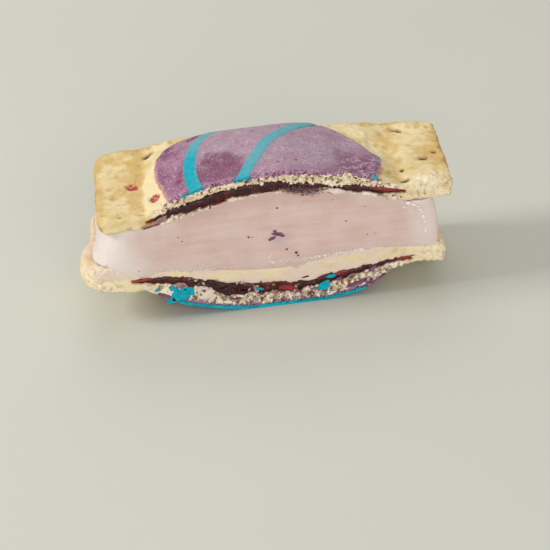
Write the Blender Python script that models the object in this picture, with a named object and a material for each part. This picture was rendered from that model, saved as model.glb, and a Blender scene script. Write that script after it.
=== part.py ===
"""One slice of an ice cream sandwich made from two frosted, jam-filled pastries, at real size.

X runs along the cut face, -Y faces out of the cut, +Y is the uncut end and +Z is up. The origin
lies under the middle of the slice, on the surface that the lower icing rests on. Sizes are in
millimetres until the points are stored, in metres.
"""

import math

import bmesh
import bpy
from mathutils import Matrix, Vector, noise

MM = 0.001

# Sizes shared by all the pieces
GAP = 0.3
SLICE_DEPTH = 29.5
CUT_Y = -SLICE_DEPTH / 2
BACK_Y = SLICE_DEPTH / 2
CUT_RIM = 0.6

# The two pastries: each is as wide as the other, but the lower one lies further to the left
PASTRY_WIDTH = 75.6
UPPER_CENTRE_X = 1.2
LOWER_CENTRE_X = -1.2
PASTRY_CORNER = 3.6
PASTRY_RIM = 1.3
RIM_SHARE = 0.58
RIM_TUCK = 0.4
EDGE_WANDER = 0.3
EDGE_BAND = 4.5
FACE_RIPPLE = 0.14
RIPPLE_SIZE = 7.0
CRUMB_DEPTH = 0.5
CRUMB_SIZE = 1.9
CRUST_CELLS = (36, 13, 3)

# The left end of the lower pastry was pushed outwards a little way behind the cut
LOWER_END_PUSH = 2.6
LOWER_END_PUSH_Y = -7.5
LOWER_END_PUSH_REACH = 7.0

# Heights along the cut face, left to right, as (x, z). The pastries bow away from each other
UPPER_FACE = ((-36, 25.0), (-28, 25.2), (-21, 26.8), (-13, 29.1), (-4, 30.0), (3, 30.2),
              (11, 29.2), (20, 26.9), (27, 25.4), (39, 26.0))
UPPER_UNDER = ((-36, 21.0), (-27, 21.5), (-17, 23.3), (-9, 25.5), (0, 26.2), (8, 25.7),
               (17, 24.1), (24, 21.9), (30, 20.7), (39, 20.6))
LOWER_FACE = ((-39, 13.6), (-35, 13.3), (-27, 11.6), (-18, 11.0), (-6, 9.3), (1, 8.9),
              (7, 9.5), (14, 10.5), (20, 11.0), (27, 10.5), (36, 10.4))
LOWER_UNDER = ((-39, 8.2), (-30, 7.3), (-25, 5.8), (-18, 3.4), (-10, 1.6), (-5, 1.1),
               (8, 1.05), (14, 1.6), (20, 3.0), (26, 5.4), (30, 5.7), (36, 5.3))

# The same four heights at the uncut end, where the bow is flatter
UPPER_FACE_BACK = ((-36, 26.8), (-24, 27.9), (-8, 29.1), (4, 28.8), (20, 27.4), (39, 25.8))
UPPER_UNDER_BACK = ((-36, 22.2), (-20, 23.8), (-4, 24.6), (20, 22.8), (39, 21.2))
LOWER_FACE_BACK = ((-39, 13.2), (-20, 11.0), (0, 9.6), (20, 10.3), (36, 10.6))
LOWER_UNDER_BACK = ((-39, 8.5), (-20, 5.6), (0, 3.6), (20, 4.9), (36, 5.7))
UPPER_FLATTENS_FROM_Y = -4.0
LOWER_FLATTENS_FROM_Y = 7.0

# The upper pastry also swells between the cut and the uncut end, more above than below
DOME_CENTRE = (-5.0, 3.0)
DOME_HALF_WIDTH = 24.0
FACE_DOME = 2.2
UNDER_DOME = 0.9

# Docking holes pricked in the bare borders
HOLE_TIP_RADIUS = 0.35
HOLE_MOUTH_RADIUS = 1.0
HOLE_DEPTH = 1.3
HOLE_SIDES = 8
UPPER_HOLES = ((-28.5, -0.4), (-23.9, -8.3), (-23.9, 11.5), (-33.4, 7.6), (-33.0, -8.6),
               (29.6, 10.6), (33.6, -3.4), (28.8, -11.2), (35.0, 6.2))
LOWER_HOLES = ((-29.5, -3.0), (-34.0, 5.0), (-33.5, -10.0), (29.8, 4.0), (30.2, -9.0))

# Jam in its pocket: centre heights at the cut, half thickness, and where it ends
UPPER_JAM_CENTRE = ((-27, 22.9), (-19, 24.7), (-8, 27.2), (-2, 27.7), (5, 27.4), (15, 25.8),
                    (20, 24.8), (28.5, 23.2))
UPPER_JAM_HALF = ((-27, 0.2), (-22, 0.5), (-8, 0.6), (-2, 0.62), (10, 0.4), (28.5, 0.2))
LOWER_JAM_CENTRE = ((-30.5, 9.9), (-18.5, 8.4), (-12, 6.4), (0, 4.2), (7, 4.1), (18, 5.9),
                    (24, 7.0), (28.7, 7.3))
LOWER_JAM_HALF = ((-30.5, 0.25), (-22, 0.45), (-8, 1.2), (2, 0.65), (11, 0.8), (20, 0.5),
                  (28.7, 0.2))
JAM_BACK_Y = 9.5
JAM_CORNER = 6.0
JAM_CELLS = (26, 5, 2)

# Ice cream
CREAM_LEFT_X = -33.6
CREAM_RIGHT_X = 34.2
CREAM_FOOT_LEFT = 1.6
CREAM_FOOT_RIGHT = 0.9
CREAM_BELLY = 2.4
CREAM_BELLY_FROM_CUT = 6.0
CREAM_BELLY_AT_TOP = 0.55
CREAM_BULGE = 0.7
CREAM_BACK_Y = 13.5
CREAM_CORNER = 5.0
CREAM_SMOOTHNESS = 0.12
CREAM_CELLS = (32, 9, 6)

# Icing, and the drizzle that stands proud of it
ICING_THICK = 0.7
ICING_HALF_WIDTH = 23.5
UPPER_ICING_X = 0.5
LOWER_ICING_X = -1.6
ICING_BACK_Y = 11.0
ICING_CORNER = 10.0
ICING_RIM = 1.2
ICING_RIM_SHARE = 0.45
ICING_CELLS = (24, 11, 2)
REST_DEPTH = 0.32
DRIZZLE_WIDTH = 2.75
DRIZZLE_RISE = 0.32
DRIZZLE_SINK = 0.5
DRIZZLE_SHOULDER = 0.55
DRIZZLE_FLOOR = 0.2
DRIZZLE_PROUD_OF_CUT = 0.05
DRIZZLE_TIP_SHARE = 0.4
DRIZZLE_TIP_LENGTH = 0.15
DRIZZLE_CELLS = (3, 16, 1)
UPPER_DRIZZLE = (
    ((-10.4, 9.6), (-16.0, -1.0), (-15.2, -14.9)),
    ((10.6, 9.4), (1.6, 0.0), (-5.4, -14.9)),
)
LOWER_DRIZZLE = (
    ((-18.0, -13.0), (-2.0, -13.6), (15.0, -13.2)),
    ((14.0, 8.0), (6.0, 1.0), (1.0, -11.8)),
)

# Colours as linear red, green and blue, with the roughness of each
CRUST_COLOUR = (0.78, 0.62, 0.36)
CREAM_COLOUR = (0.72, 0.55, 0.55)
JAM_COLOUR = (0.11, 0.012, 0.018)
ICING_COLOUR = (0.23, 0.12, 0.22)


def clear_scene():
    """Removes every object that the scene starts with."""
    for obj in list(bpy.data.objects):
        bpy.data.objects.remove(obj, do_unlink=True)


def food_material(name, colour, roughness):
    """A plain Principled material of one colour."""
    material = bpy.data.materials.new(name)
    material.use_nodes = True
    shader = material.node_tree.nodes["Principled BSDF"]
    shader.inputs["Base Color"].default_value = (*colour, 1.0)
    shader.inputs["Roughness"].default_value = roughness
    shader.inputs["Metallic"].default_value = 0.0
    return material


def slopes_through(stations):
    """A slope for each station that lets a curve pass through all of them with no overshoot."""
    steps = [(b[1] - a[1]) / (b[0] - a[0]) for a, b in zip(stations, stations[1:])]
    slopes = [steps[0]]
    for before, after in zip(steps, steps[1:]):
        turns = before * after <= 0
        slopes.append(0.0 if turns else 2 * before * after / (before + after))
    slopes.append(steps[-1])
    return slopes


def through(stations, x):
    """Height at x of the smooth curve through (x, z) stations, level beyond the end ones."""
    x = min(max(x, stations[0][0]), stations[-1][0])
    slopes = slopes_through(stations)
    index = 0
    while index < len(stations) - 2 and x > stations[index + 1][0]:
        index += 1
    (x0, z0), (x1, z1) = stations[index], stations[index + 1]
    span = x1 - x0
    t = (x - x0) / span
    rise = (3 - 2 * t) * t * t
    lean_in = t * (1 - t) ** 2 * span * slopes[index]
    lean_out = t * t * (1 - t) * span * slopes[index + 1]
    return z0 + (z1 - z0) * rise + lean_in - lean_out


def ease(t):
    """Smooth step from 0 to 1 as t goes from 0 to 1."""
    t = min(max(t, 0.0), 1.0)
    return t * t * (3 - 2 * t)


def ripple(x, y, size, layer):
    """Smooth unevenness between about -1 and 1. Each layer is a different pattern."""
    return noise.noise(Vector((x / size, y / size, 10.0 * layer)))


def height(cut, back, flattens_from, x, y):
    """Height at (x, y) of a face that goes from its cut profile to its profile at the uncut end."""
    share = ease((y - flattens_from) / (BACK_Y - flattens_from))
    return through(cut, x) * (1 - share) + through(back, x) * share


def dome(x, y):
    """Share of the upper pastry's swelling at (x, y): 1 at its centre, 0 at the cut and the end."""
    centre_x, centre_y = DOME_CENTRE
    reach_y = BACK_Y - centre_y if y > centre_y else centre_y - CUT_Y
    along = min(abs(x - centre_x) / DOME_HALF_WIDTH, 1.0)
    deep = min(abs(y - centre_y) / reach_y, 1.0)
    return (math.cos(math.pi / 2 * along) * math.cos(math.pi / 2 * deep)) ** 2


def upper_face(x, y):
    """Outer face of the upper pastry."""
    smooth = height(UPPER_FACE, UPPER_FACE_BACK, UPPER_FLATTENS_FROM_Y, x, y)
    return smooth + FACE_DOME * dome(x, y) + FACE_RIPPLE * ripple(x, y, RIPPLE_SIZE, 1)


def upper_under(x, y):
    """Face of the upper pastry that lies on the ice cream."""
    smooth = height(UPPER_UNDER, UPPER_UNDER_BACK, UPPER_FLATTENS_FROM_Y, x, y)
    return smooth + UNDER_DOME * dome(x, y)


def lower_face(x, y):
    """Face of the lower pastry that the ice cream lies on."""
    return height(LOWER_FACE, LOWER_FACE_BACK, LOWER_FLATTENS_FROM_Y, x, y)


def lower_under(x, y):
    """Outer face of the lower pastry, which carries the lower icing."""
    return height(LOWER_UNDER, LOWER_UNDER_BACK, LOWER_FLATTENS_FROM_Y, x, y)


def lower_icing_skin(x, y):
    """Outer face of the lower icing, pressed flat at height 0 where the slice rests."""
    return max(lower_under(x, y) - GAP - ICING_THICK - REST_DEPTH, 0.0)


def upper_icing_skin(x, y):
    """Outer face of the upper icing."""
    return upper_face(x, y) + GAP + ICING_THICK


def lattice_block(name, cells, place, material):
    """A closed block of cells = (across, deep, up), each corner of it moved to place(u, v, w).

    It is a grid extruded upwards one level at a time, and u, v and w run from 0 to 1.
    """
    across, deep, up = cells
    block = bmesh.new()
    bmesh.ops.create_grid(block, x_segments=across, y_segments=deep, size=0.5)
    cap = list(block.faces)
    for level in range(up):
        grown = bmesh.ops.extrude_face_region(block, geom=cap)["geom"]
        if level:
            bmesh.ops.delete(block, geom=cap, context="FACES_ONLY")
        cap = [item for item in grown if isinstance(item, bmesh.types.BMFace)]
        corners = [item for item in grown if isinstance(item, bmesh.types.BMVert)]
        bmesh.ops.translate(block, verts=corners, vec=(0, 0, 1 / up))
    for vert in block.verts:
        point = place(vert.co.x + 0.5, vert.co.y + 0.5, vert.co.z)
        vert.co = Vector(point) * MM
    bmesh.ops.recalc_face_normals(block, faces=list(block.faces))
    mesh = bpy.data.meshes.new(name)
    block.to_mesh(mesh)
    block.free()
    mesh.materials.append(material)
    mesh.shade_smooth()
    mesh.set_sharp_from_angle(angle=math.radians(50))
    obj = bpy.data.objects.new(name, mesh)
    bpy.context.scene.collection.objects.link(obj)
    return obj


def spread(share, cells, low, high, low_rim, high_rim):
    """Place of a grid line between low and high, with a narrow cell of its own at each end."""
    step = round(share * cells)
    if step == 0:
        return low
    if step == cells:
        return high
    inner = (step - 1) / (cells - 2)
    return low + low_rim + (high - high_rim - low - low_rim) * inner


def round_back(x, y, half_width, back, radius):
    """A point of a rectangle, moved so that the two corners at the back become arcs."""
    beyond_x = abs(x) - (half_width - radius)
    beyond_y = y - (back - radius)
    if beyond_x <= 0 or beyond_y <= 0:
        return x, y
    squeeze = max(beyond_x, beyond_y) / math.hypot(beyond_x, beyond_y)
    x = math.copysign(half_width - radius + beyond_x * squeeze, x)
    return x, back - radius + beyond_y * squeeze


def rim_swell(edge, rim, least):
    """Share of the full thickness at a distance from the edge: least at the edge, 1 past the rim."""
    t = min(edge / rim, 1.0)
    return least + (1 - least) * math.sqrt(1 - (1 - t) ** 2)


def cut_crumb(x, z, layer):
    """How far the torn crumb of the cut face lies behind the plane of the cut."""
    fine = noise.noise(Vector((x / CRUMB_SIZE, z / CRUMB_SIZE, 20.0 * layer)))
    return CRUMB_DEPTH * (0.5 + 0.5 * fine)


def end_push(x, y, half_width, push):
    """How far the left end of a pastry lies outwards of its straight edge at (x, y)."""
    if x > 0:
        return 0.0
    bump = math.exp(-(((y - LOWER_END_PUSH_Y) / LOWER_END_PUSH_REACH) ** 2))
    return push * bump * (x / half_width) ** 4


def crust_block(name, centre_x, face, under, layer, push, material):
    """A pastry with a rounded rim on three sides and a crumbly cut on the fourth."""
    across, deep, _ = CRUST_CELLS
    half_width = PASTRY_WIDTH / 2

    def place(u, v, w):
        x = spread(u, across, -half_width, half_width, PASTRY_RIM, PASTRY_RIM)
        y = spread(v, deep, CUT_Y, BACK_Y, CUT_RIM, PASTRY_RIM)
        edge = min(half_width - abs(x), BACK_Y - y)
        x, y = round_back(x, y, half_width, BACK_Y, PASTRY_CORNER)
        side = 2 * w - 1
        swell = rim_swell(edge, PASTRY_RIM, RIM_SHARE)
        tuck = RIM_TUCK * side * side * (1 - swell) / (1 - RIM_SHARE)
        wander = EDGE_WANDER * abs(ripple(x, y, RIPPLE_SIZE, layer + 4))
        drawn_in = tuck + wander * ease(1 - edge / EDGE_BAND)
        pushed = end_push(x, y, half_width, push)
        x = centre_x + x * (1 - drawn_in / half_width) - pushed
        if y > 0:
            y *= 1 - drawn_in / BACK_Y
        low, high = under(x, y), face(x, y)
        z = (high + low + side * swell * (high - low)) / 2
        if v == 0:
            y += cut_crumb(x, z, layer)
        return x, y, z

    return lattice_block(name, CRUST_CELLS, place, material)


def jam_block(name, centre, half, face, under, grow, material):
    """The jam layer, or with grow above 0 the pocket that holds it with that much room."""
    across, deep, _ = JAM_CELLS
    left, right = centre[0][0] - grow, centre[-1][0] + grow
    middle_x = (left + right) / 2
    half_width = (right - left) / 2
    front = CUT_Y - 2.0 if grow else CUT_Y + CRUMB_DEPTH / 2
    back = JAM_BACK_Y + grow

    def place(u, v, w):
        x = spread(u, across, -half_width, half_width, 1.0, 1.0)
        y = spread(v, deep, front, back, 1.0, 1.0)
        x, y = round_back(x, y, half_width, back, JAM_CORNER)
        x += middle_x
        low, high = under(x, CUT_Y), face(x, CUT_Y)
        share = (through(centre, x) - low) / (high - low)
        behind = max(y, CUT_Y)
        low, high = under(x, behind), face(x, behind)
        thick = through(half, x) + grow
        return x, y, low + share * (high - low) + (2 * w - 1) * thick

    return lattice_block(name, JAM_CELLS, place, material)


def cream_block(name, material):
    """The ice cream: a knife-cut front, and sides that bulge and spread at the foot."""
    across, deep, _ = CREAM_CELLS
    middle_x = (CREAM_LEFT_X + CREAM_RIGHT_X) / 2
    half_width = (CREAM_RIGHT_X - CREAM_LEFT_X) / 2

    def place(u, v, w):
        x = spread(u, across, -half_width, half_width, 1.0, 1.0)
        y = spread(v, deep, CUT_Y, CREAM_BACK_Y, CUT_RIM, 1.0)
        edge = min(half_width - abs(x), CREAM_BACK_Y - y)
        x, y = round_back(x, y, half_width, CREAM_BACK_Y, CREAM_CORNER)
        foot = CREAM_FOOT_LEFT if x < 0 else CREAM_FOOT_RIGHT
        swell = CREAM_BULGE * math.sin(math.pi * w) + foot * (1 - w) ** 2
        near_side = ease(1 - edge / EDGE_BAND)
        if x < 0:
            lean = 1 - (1 - CREAM_BELLY_AT_TOP) * w
            swell += CREAM_BELLY * lean * ease((y - CUT_Y) / CREAM_BELLY_FROM_CUT)
        x = middle_x + x * (1 + swell * near_side / half_width)
        if y > 0:
            y *= 1 + CREAM_BULGE * math.sin(math.pi * w) * near_side / CREAM_BACK_Y
        low = lower_face(x, y) + GAP
        high = upper_under(x, y) - GAP
        z = low + w * (high - low)
        if v == 0:
            y += CREAM_SMOOTHNESS * (1 + ripple(x, z, RIPPLE_SIZE, 3))
        return x, y, z

    return lattice_block(name, CREAM_CELLS, place, material)


def icing_block(name, centre_x, skin, inner, material):
    """A thin sheet of icing between its skin and the pastry, thinner round its rim."""
    across, deep, _ = ICING_CELLS

    def place(u, v, w):
        x = spread(u, across, -ICING_HALF_WIDTH, ICING_HALF_WIDTH, ICING_RIM, ICING_RIM)
        y = spread(v, deep, CUT_Y, ICING_BACK_Y, CUT_RIM, ICING_RIM)
        edge = min(ICING_HALF_WIDTH - abs(x), ICING_BACK_Y - y)
        x, y = round_back(x, y, ICING_HALF_WIDTH, ICING_BACK_Y, ICING_CORNER)
        x += centre_x
        swell = rim_swell(edge, ICING_RIM, ICING_RIM_SHARE)
        base, top = inner(x, y), skin(x, y)
        outward = w if top > base else 1 - w
        return x, y, base + (top - base) * outward * swell

    return lattice_block(name, ICING_CELLS, place, material)


def drizzle_block(name, path, skin, outward, material):
    """A flat ribbon of drizzle along a curve through three plan points, sunk in the icing.

    The curve is a parabola. The far end is rounded off, and outward is 1 above and -1 below.
    """
    start, middle, end = (Vector(point) for point in path)
    control = 2 * middle - (start + end) / 2

    def place(u, v, w):
        centre = start * (1 - v) ** 2 + control * 2 * v * (1 - v) + end * v * v
        along = (control - start) * (1 - v) + (end - control) * v
        across = Vector((-along.y, along.x)).normalized()
        round_off = rim_swell(v, DRIZZLE_TIP_LENGTH, DRIZZLE_TIP_SHARE)
        side = 2 * u - 1
        point = centre + across * side * DRIZZLE_WIDTH / 2 * round_off
        crown = 1 - (1 - DRIZZLE_SHOULDER) * side * side
        level = skin(point.x, point.y)
        proud = w if outward > 0 else 1 - w
        z = level + outward * (DRIZZLE_RISE * crown if proud else -DRIZZLE_SINK)
        return point.x, max(point.y, CUT_Y - DRIZZLE_PROUD_OF_CUT), max(z, DRIZZLE_FLOOR)

    return lattice_block(name, DRIZZLE_CELLS, place, material)


def hole_cutters(name, holes, face, outward):
    """One cone for each docking hole, its wide end just outside the face."""
    cutters = bmesh.new()
    for x, y in holes:
        cone = bmesh.ops.create_cone(
            cutters,
            cap_ends=True,
            segments=HOLE_SIDES,
            radius1=HOLE_TIP_RADIUS * MM,
            radius2=HOLE_MOUTH_RADIUS * MM,
            depth=2 * HOLE_DEPTH * MM,
        )
        if outward < 0:
            bmesh.ops.rotate(
                cutters,
                verts=cone["verts"],
                cent=(0, 0, 0),
                matrix=Matrix.Rotation(math.pi, 3, "X"),
            )
        bmesh.ops.translate(cutters, verts=cone["verts"], vec=Vector((x, y, face(x, y))) * MM)
    mesh = bpy.data.meshes.new(name)
    cutters.to_mesh(mesh)
    cutters.free()
    obj = bpy.data.objects.new(name, mesh)
    bpy.context.scene.collection.objects.link(obj)
    return obj


def mark_as_cutter(obj):
    """Keeps a cutter out of the object itself."""
    obj.hide_render = True
    obj.display_type = "WIRE"


def cut_away(body, cutter):
    """Takes the cutter's shape out of the body."""
    mark_as_cutter(cutter)
    modifier = body.modifiers.new("cut_" + cutter.name, "BOOLEAN")
    modifier.operation = "DIFFERENCE"
    modifier.object = cutter


def fuse(body, toppings):
    """Joins the toppings to the body with one union, then removes them."""
    together = bpy.data.collections.new(body.name + "_toppings")
    bpy.context.scene.collection.children.link(together)
    for topping in toppings:
        bpy.context.scene.collection.objects.unlink(topping)
        together.objects.link(topping)
    modifier = body.modifiers.new("fuse", "BOOLEAN")
    modifier.operation = "UNION"
    modifier.operand_type = "COLLECTION"
    modifier.collection = together
    graph = bpy.context.evaluated_depsgraph_get()
    joined = bpy.data.meshes.new_from_object(body.evaluated_get(graph))
    body.modifiers.clear()
    body.data = joined
    for topping in toppings:
        bpy.data.objects.remove(topping, do_unlink=True)
    bpy.data.collections.remove(together)


def build_pastry(name, centre_x, face, under, holes, outward, jam, layer, push, materials):
    """A crust with its jam: the pocket and the docking holes are cut from the crust."""
    crust = crust_block(
        name + "_crust", centre_x, face, under, layer, push, materials["crust"]
    )
    centre, half = jam
    pocket = jam_block(name + "_pocket", centre, half, face, under, GAP, materials["jam"])
    jam_block(name + "_jam", centre, half, face, under, 0.0, materials["jam"])
    outer = face if outward > 0 else under
    cut_away(crust, pocket)
    cut_away(crust, hole_cutters(name + "_holes", holes, outer, outward))


def build_icing(name, centre_x, skin, inner, paths, outward, material):
    """A sheet of icing with its drizzle fused on."""
    icing = icing_block(name, centre_x, skin, inner, material)
    ribbons = [
        drizzle_block(f"{name}_drizzle_{number}", path, skin, outward, material)
        for number, path in enumerate(paths)
    ]
    fuse(icing, ribbons)


def main():
    """Builds the slice from the bottom upwards."""
    clear_scene()
    materials = {
        "crust": food_material("crust", CRUST_COLOUR, 0.85),
        "cream": food_material("cream", CREAM_COLOUR, 0.5),
        "jam": food_material("jam", JAM_COLOUR, 0.3),
        "icing": food_material("icing", ICING_COLOUR, 0.45),
    }
    build_icing(
        "bottom_icing",
        LOWER_ICING_X,
        lower_icing_skin,
        lambda x, y: lower_under(x, y) - GAP,
        LOWER_DRIZZLE,
        -1,
        materials["icing"],
    )
    build_pastry(
        "bottom",
        LOWER_CENTRE_X,
        lower_face,
        lower_under,
        LOWER_HOLES,
        -1,
        (LOWER_JAM_CENTRE, LOWER_JAM_HALF),
        1,
        LOWER_END_PUSH,
        materials,
    )
    cream_block("ice_cream", materials["cream"])
    build_pastry(
        "top",
        UPPER_CENTRE_X,
        upper_face,
        upper_under,
        UPPER_HOLES,
        1,
        (UPPER_JAM_CENTRE, UPPER_JAM_HALF),
        2,
        0.0,
        materials,
    )
    build_icing(
        "top_icing",
        UPPER_ICING_X,
        upper_icing_skin,
        lambda x, y: upper_face(x, y) + GAP,
        UPPER_DRIZZLE,
        1,
        materials["icing"],
    )


main()
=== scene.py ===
"""Looks of a cut slice of an ice cream sandwich: iced, jam-filled pastries round pale pink cream.

Lengths are in millimetres until a mesh is made. x runs along the cut from left to right, y runs
away from the cut into the slice, and z runs upwards from the spot that the slice rests on.
"""

import logging
import math
from dataclasses import dataclass, field
from enum import Enum
from itertools import product

import bpy
import numpy as np
from mathutils import Matrix, Vector


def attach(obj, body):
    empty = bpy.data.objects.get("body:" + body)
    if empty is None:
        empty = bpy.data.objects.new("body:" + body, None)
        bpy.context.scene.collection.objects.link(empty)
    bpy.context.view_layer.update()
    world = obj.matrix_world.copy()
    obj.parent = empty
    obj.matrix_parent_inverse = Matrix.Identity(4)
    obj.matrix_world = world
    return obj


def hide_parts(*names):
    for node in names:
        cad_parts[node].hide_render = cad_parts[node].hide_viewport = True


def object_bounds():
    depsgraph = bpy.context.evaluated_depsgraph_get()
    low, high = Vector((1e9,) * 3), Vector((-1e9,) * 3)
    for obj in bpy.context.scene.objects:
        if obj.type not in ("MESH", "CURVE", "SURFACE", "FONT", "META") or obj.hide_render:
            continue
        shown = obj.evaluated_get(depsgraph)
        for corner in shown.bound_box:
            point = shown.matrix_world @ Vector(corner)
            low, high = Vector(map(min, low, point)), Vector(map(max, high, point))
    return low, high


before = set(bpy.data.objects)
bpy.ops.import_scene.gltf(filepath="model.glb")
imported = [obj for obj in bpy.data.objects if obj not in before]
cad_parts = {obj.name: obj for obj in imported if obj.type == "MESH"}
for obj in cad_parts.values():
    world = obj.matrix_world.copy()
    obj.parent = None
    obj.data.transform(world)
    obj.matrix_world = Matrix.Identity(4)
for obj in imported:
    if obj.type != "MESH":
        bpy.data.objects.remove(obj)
CAD_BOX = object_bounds()
LOG = logging.getLogger("slice")

MM = 0.001
BODY = "root"

# The cut, the uncut end and the layers as in the solids, then places that several pieces share
CUT_Y = -14.75
BACK_Y = 14.75
PROUD = 0.05
PASTRY_HALF = 37.8
PASTRY_CORNER = 3.6
PASTRY_RIM = 1.3
RIM_SHARE = 0.58
RIM_TUCK = 0.4
EDGE_WANDER = 0.3
EDGE_BAND = 4.5
RIPPLE_SIZE = 7.0
DOME_CENTRE = (-5.0, 3.0)
DOME_HALF_WIDTH = 24.0
ICING_THICK = 1.0
CUT_BAND = 2.4
RIM_CLEARANCE = 0.4
SMEAR_X = 6.6
SMEAR_Z = 26.7
SMEAR_TILT = -9.0
NOTCH_X = 17.4
RIDGE_LINE = ((-4, 10.6), (3, 10.3), (12, 10.6), (22, 11.0))

# Numbers of the scattering, in which every whole cell gets a value of its own
CELL_PRIMES = (73856093, 19349663, 83492791)
SEED_PRIME = 668265263
STIR = 0x45D9F3B
WORD = 0xFFFFFFFF
LATTICE_SHIFT = 500.0
FAR = 9.0

Array = np.ndarray
Stations = tuple[tuple[float, float], ...]
Colour = tuple[int, int, int]


# Smooth functions, ovals and patterns on whole arrays


def ease(t: Array) -> Array:
    """Smooth step from 0 to 1 as t goes from 0 to 1."""
    t = np.clip(t, 0.0, 1.0)
    return t * t * (3 - 2 * t)


def between(x: Array, low: float, high: float, soft: float) -> Array:
    """Share that is 1 from low to high and fades to 0 over soft on both sides."""
    return ease((x - low) / soft + 1) * ease((high - x) / soft + 1)


def bell(x: Array, middle: float, width: float) -> Array:
    """Bell of height 1 round the middle."""
    return np.exp(-(((x - middle) / width) ** 2))


@dataclass(frozen=True)
class Oval:
    """A tilted oval on a face: its centre, half of its length and of its width, and its tilt."""

    x: float
    y: float
    half_x: float
    half_y: float
    tilt: float = 0.0

    def away(self, x: Array, y: Array) -> Array:
        """Distance from the centre in shares of the half sizes, 1 on the outline.

        Args:
            x: places along the face's first axis.
            y: places along its second axis.

        Returns:
            The distance for each place.
        """
        turn = math.radians(self.tilt)
        across, up = x - self.x, y - self.y
        along = across * math.cos(turn) + up * math.sin(turn)
        beside = up * math.cos(turn) - across * math.sin(turn)
        return np.hypot(along / self.half_x, beside / self.half_y)

    def glow(self, x: Array, y: Array) -> Array:
        """Bell of height 1 at the centre."""
        return bell(self.away(x, y), 0.0, 1.0)


def through(stations: Stations, x: Array) -> Array:
    """Smooth curve through (x, height) stations, level beyond the end ones.

    Between two stations it is a cubic whose slope at a station is the harmonic mean of the slopes
    on both sides, or 0 where the curve turns, so that it never overshoots.

    Args:
        stations: the places that the curve passes through, from left to right.
        x: where the height is wanted.

    Returns:
        The height at each x.
    """
    at, level = np.array(stations, float).T
    step = np.diff(level) / np.diff(at)
    same_way = step[:-1] * step[1:] > 0
    total = np.where(same_way, step[:-1] + step[1:], 1.0)
    inner = np.where(same_way, 2 * step[:-1] * step[1:] / total, 0.0)
    slope = np.concatenate(([step[0]], inner, [step[-1]]))
    x = np.clip(x, at[0], at[-1])
    index = np.clip(np.searchsorted(at, x) - 1, 0, len(at) - 2)
    span = at[index + 1] - at[index]
    t = (x - at[index]) / span
    rise = (level[index + 1] - level[index]) * (3 - 2 * t) * t * t
    lean_in = t * (1 - t) ** 2 * span * slope[index]
    lean_out = t * t * (1 - t) * span * slope[index + 1]
    return level[index] + rise + lean_in - lean_out


def scatter(cell: Array, seed: int) -> Array:
    """A number from 0 to 1 for each whole cell, always the same for the same cell and seed.

    Args:
        cell: whole numbers, three in a row.
        seed: which set of numbers to give.

    Returns:
        One number for each row.
    """
    one, two, three = (cell[..., axis] * prime for axis, prime in enumerate(CELL_PRIMES))
    mixed = (one ^ two ^ three ^ (seed * SEED_PRIME)) & WORD
    for _ in range(2):
        mixed = ((mixed ^ (mixed >> 15)) * STIR) & WORD
    return (mixed ^ (mixed >> 16)) / 2.0**32


def ripple(points: Array, size: float, seed: int) -> Array:
    """Soft unevenness from -1 to 1: scattered values on a lattice, eased from corner to corner.

    Args:
        points: places, three numbers in a row.
        size: distance between the lattice's corners.
        seed: which pattern.

    Returns:
        The value at each place.
    """
    scaled = points / size + LATTICE_SHIFT
    base = np.floor(scaled).astype(np.int64)
    share = ease(scaled - base)
    total = np.zeros(points.shape[:-1])
    for corner in product((0, 1), repeat=3):
        weight = np.prod(np.where(corner, share, 1 - share), axis=-1)
        total += weight * scatter(base + np.array(corner), seed)
    return 2 * total - 1


def cloud(points: Array, size: float, seed: int, layers: int = 3) -> Array:
    """Unevenness of several sizes: each layer has half the size and half the height of the last."""
    total = sum(ripple(points, size / 2**n, seed + n) / 2**n for n in range(layers))
    return total / sum(1 / 2**n for n in range(layers))


def grains(points: Array, size: float, seed: int) -> tuple[Array, Array, Array]:
    """Packed grains: each lattice cell holds a seat, and a place belongs to the nearest one.

    Args:
        points: places, three numbers in a row.
        size: mean distance between the seats.
        seed: which pattern.

    Returns:
        Distance to the nearest seat and to the second nearest in shares of size, and the tone of
        the nearest grain from 0 to 1.
    """
    scaled = points / size + LATTICE_SHIFT
    base = np.floor(scaled).astype(np.int64)
    nearest = np.full(points.shape[:-1], FAR)
    second = nearest.copy()
    tone = np.zeros_like(nearest)
    for corner in product((-1, 0, 1), repeat=3):
        cell = base + np.array(corner)
        seat = cell + np.stack([scatter(cell, seed + axis) for axis in range(3)], axis=-1)
        away = np.linalg.norm(seat - scaled, axis=-1)
        closer = away < nearest
        second = np.where(closer, nearest, np.minimum(second, away))
        tone = np.where(closer, scatter(cell, seed + 3), tone)
        nearest = np.where(closer, away, nearest)
    return nearest, second, tone


def pitted(
    points: Array, size: float, seed: int, missing: tuple[float, float], width: float
) -> Array:
    """Round pits at some of the seats of packed grains, from 0 outside to 1 in their middles.

    Args:
        points: places, three numbers in a row.
        size: mean distance between the seats.
        seed: which pattern.
        missing: the tone from which a seat has a pit, and how softly that sets in.
        width: radius of a pit, in shares of size.

    Returns:
        The pits at each place.
    """
    near, _, tone = grains(points, size, seed)
    return ease((tone - missing[0]) / missing[1]) * np.clip(1 - (near / width) ** 2, 0, 1)


def rows(x: Array, y: Array | float, z: Array | float = 0.0) -> Array:
    """Places, three numbers in a row, from coordinates that are arrays or one number."""
    return np.stack(np.broadcast_arrays(x, y, z), axis=-1).astype(float)


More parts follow.
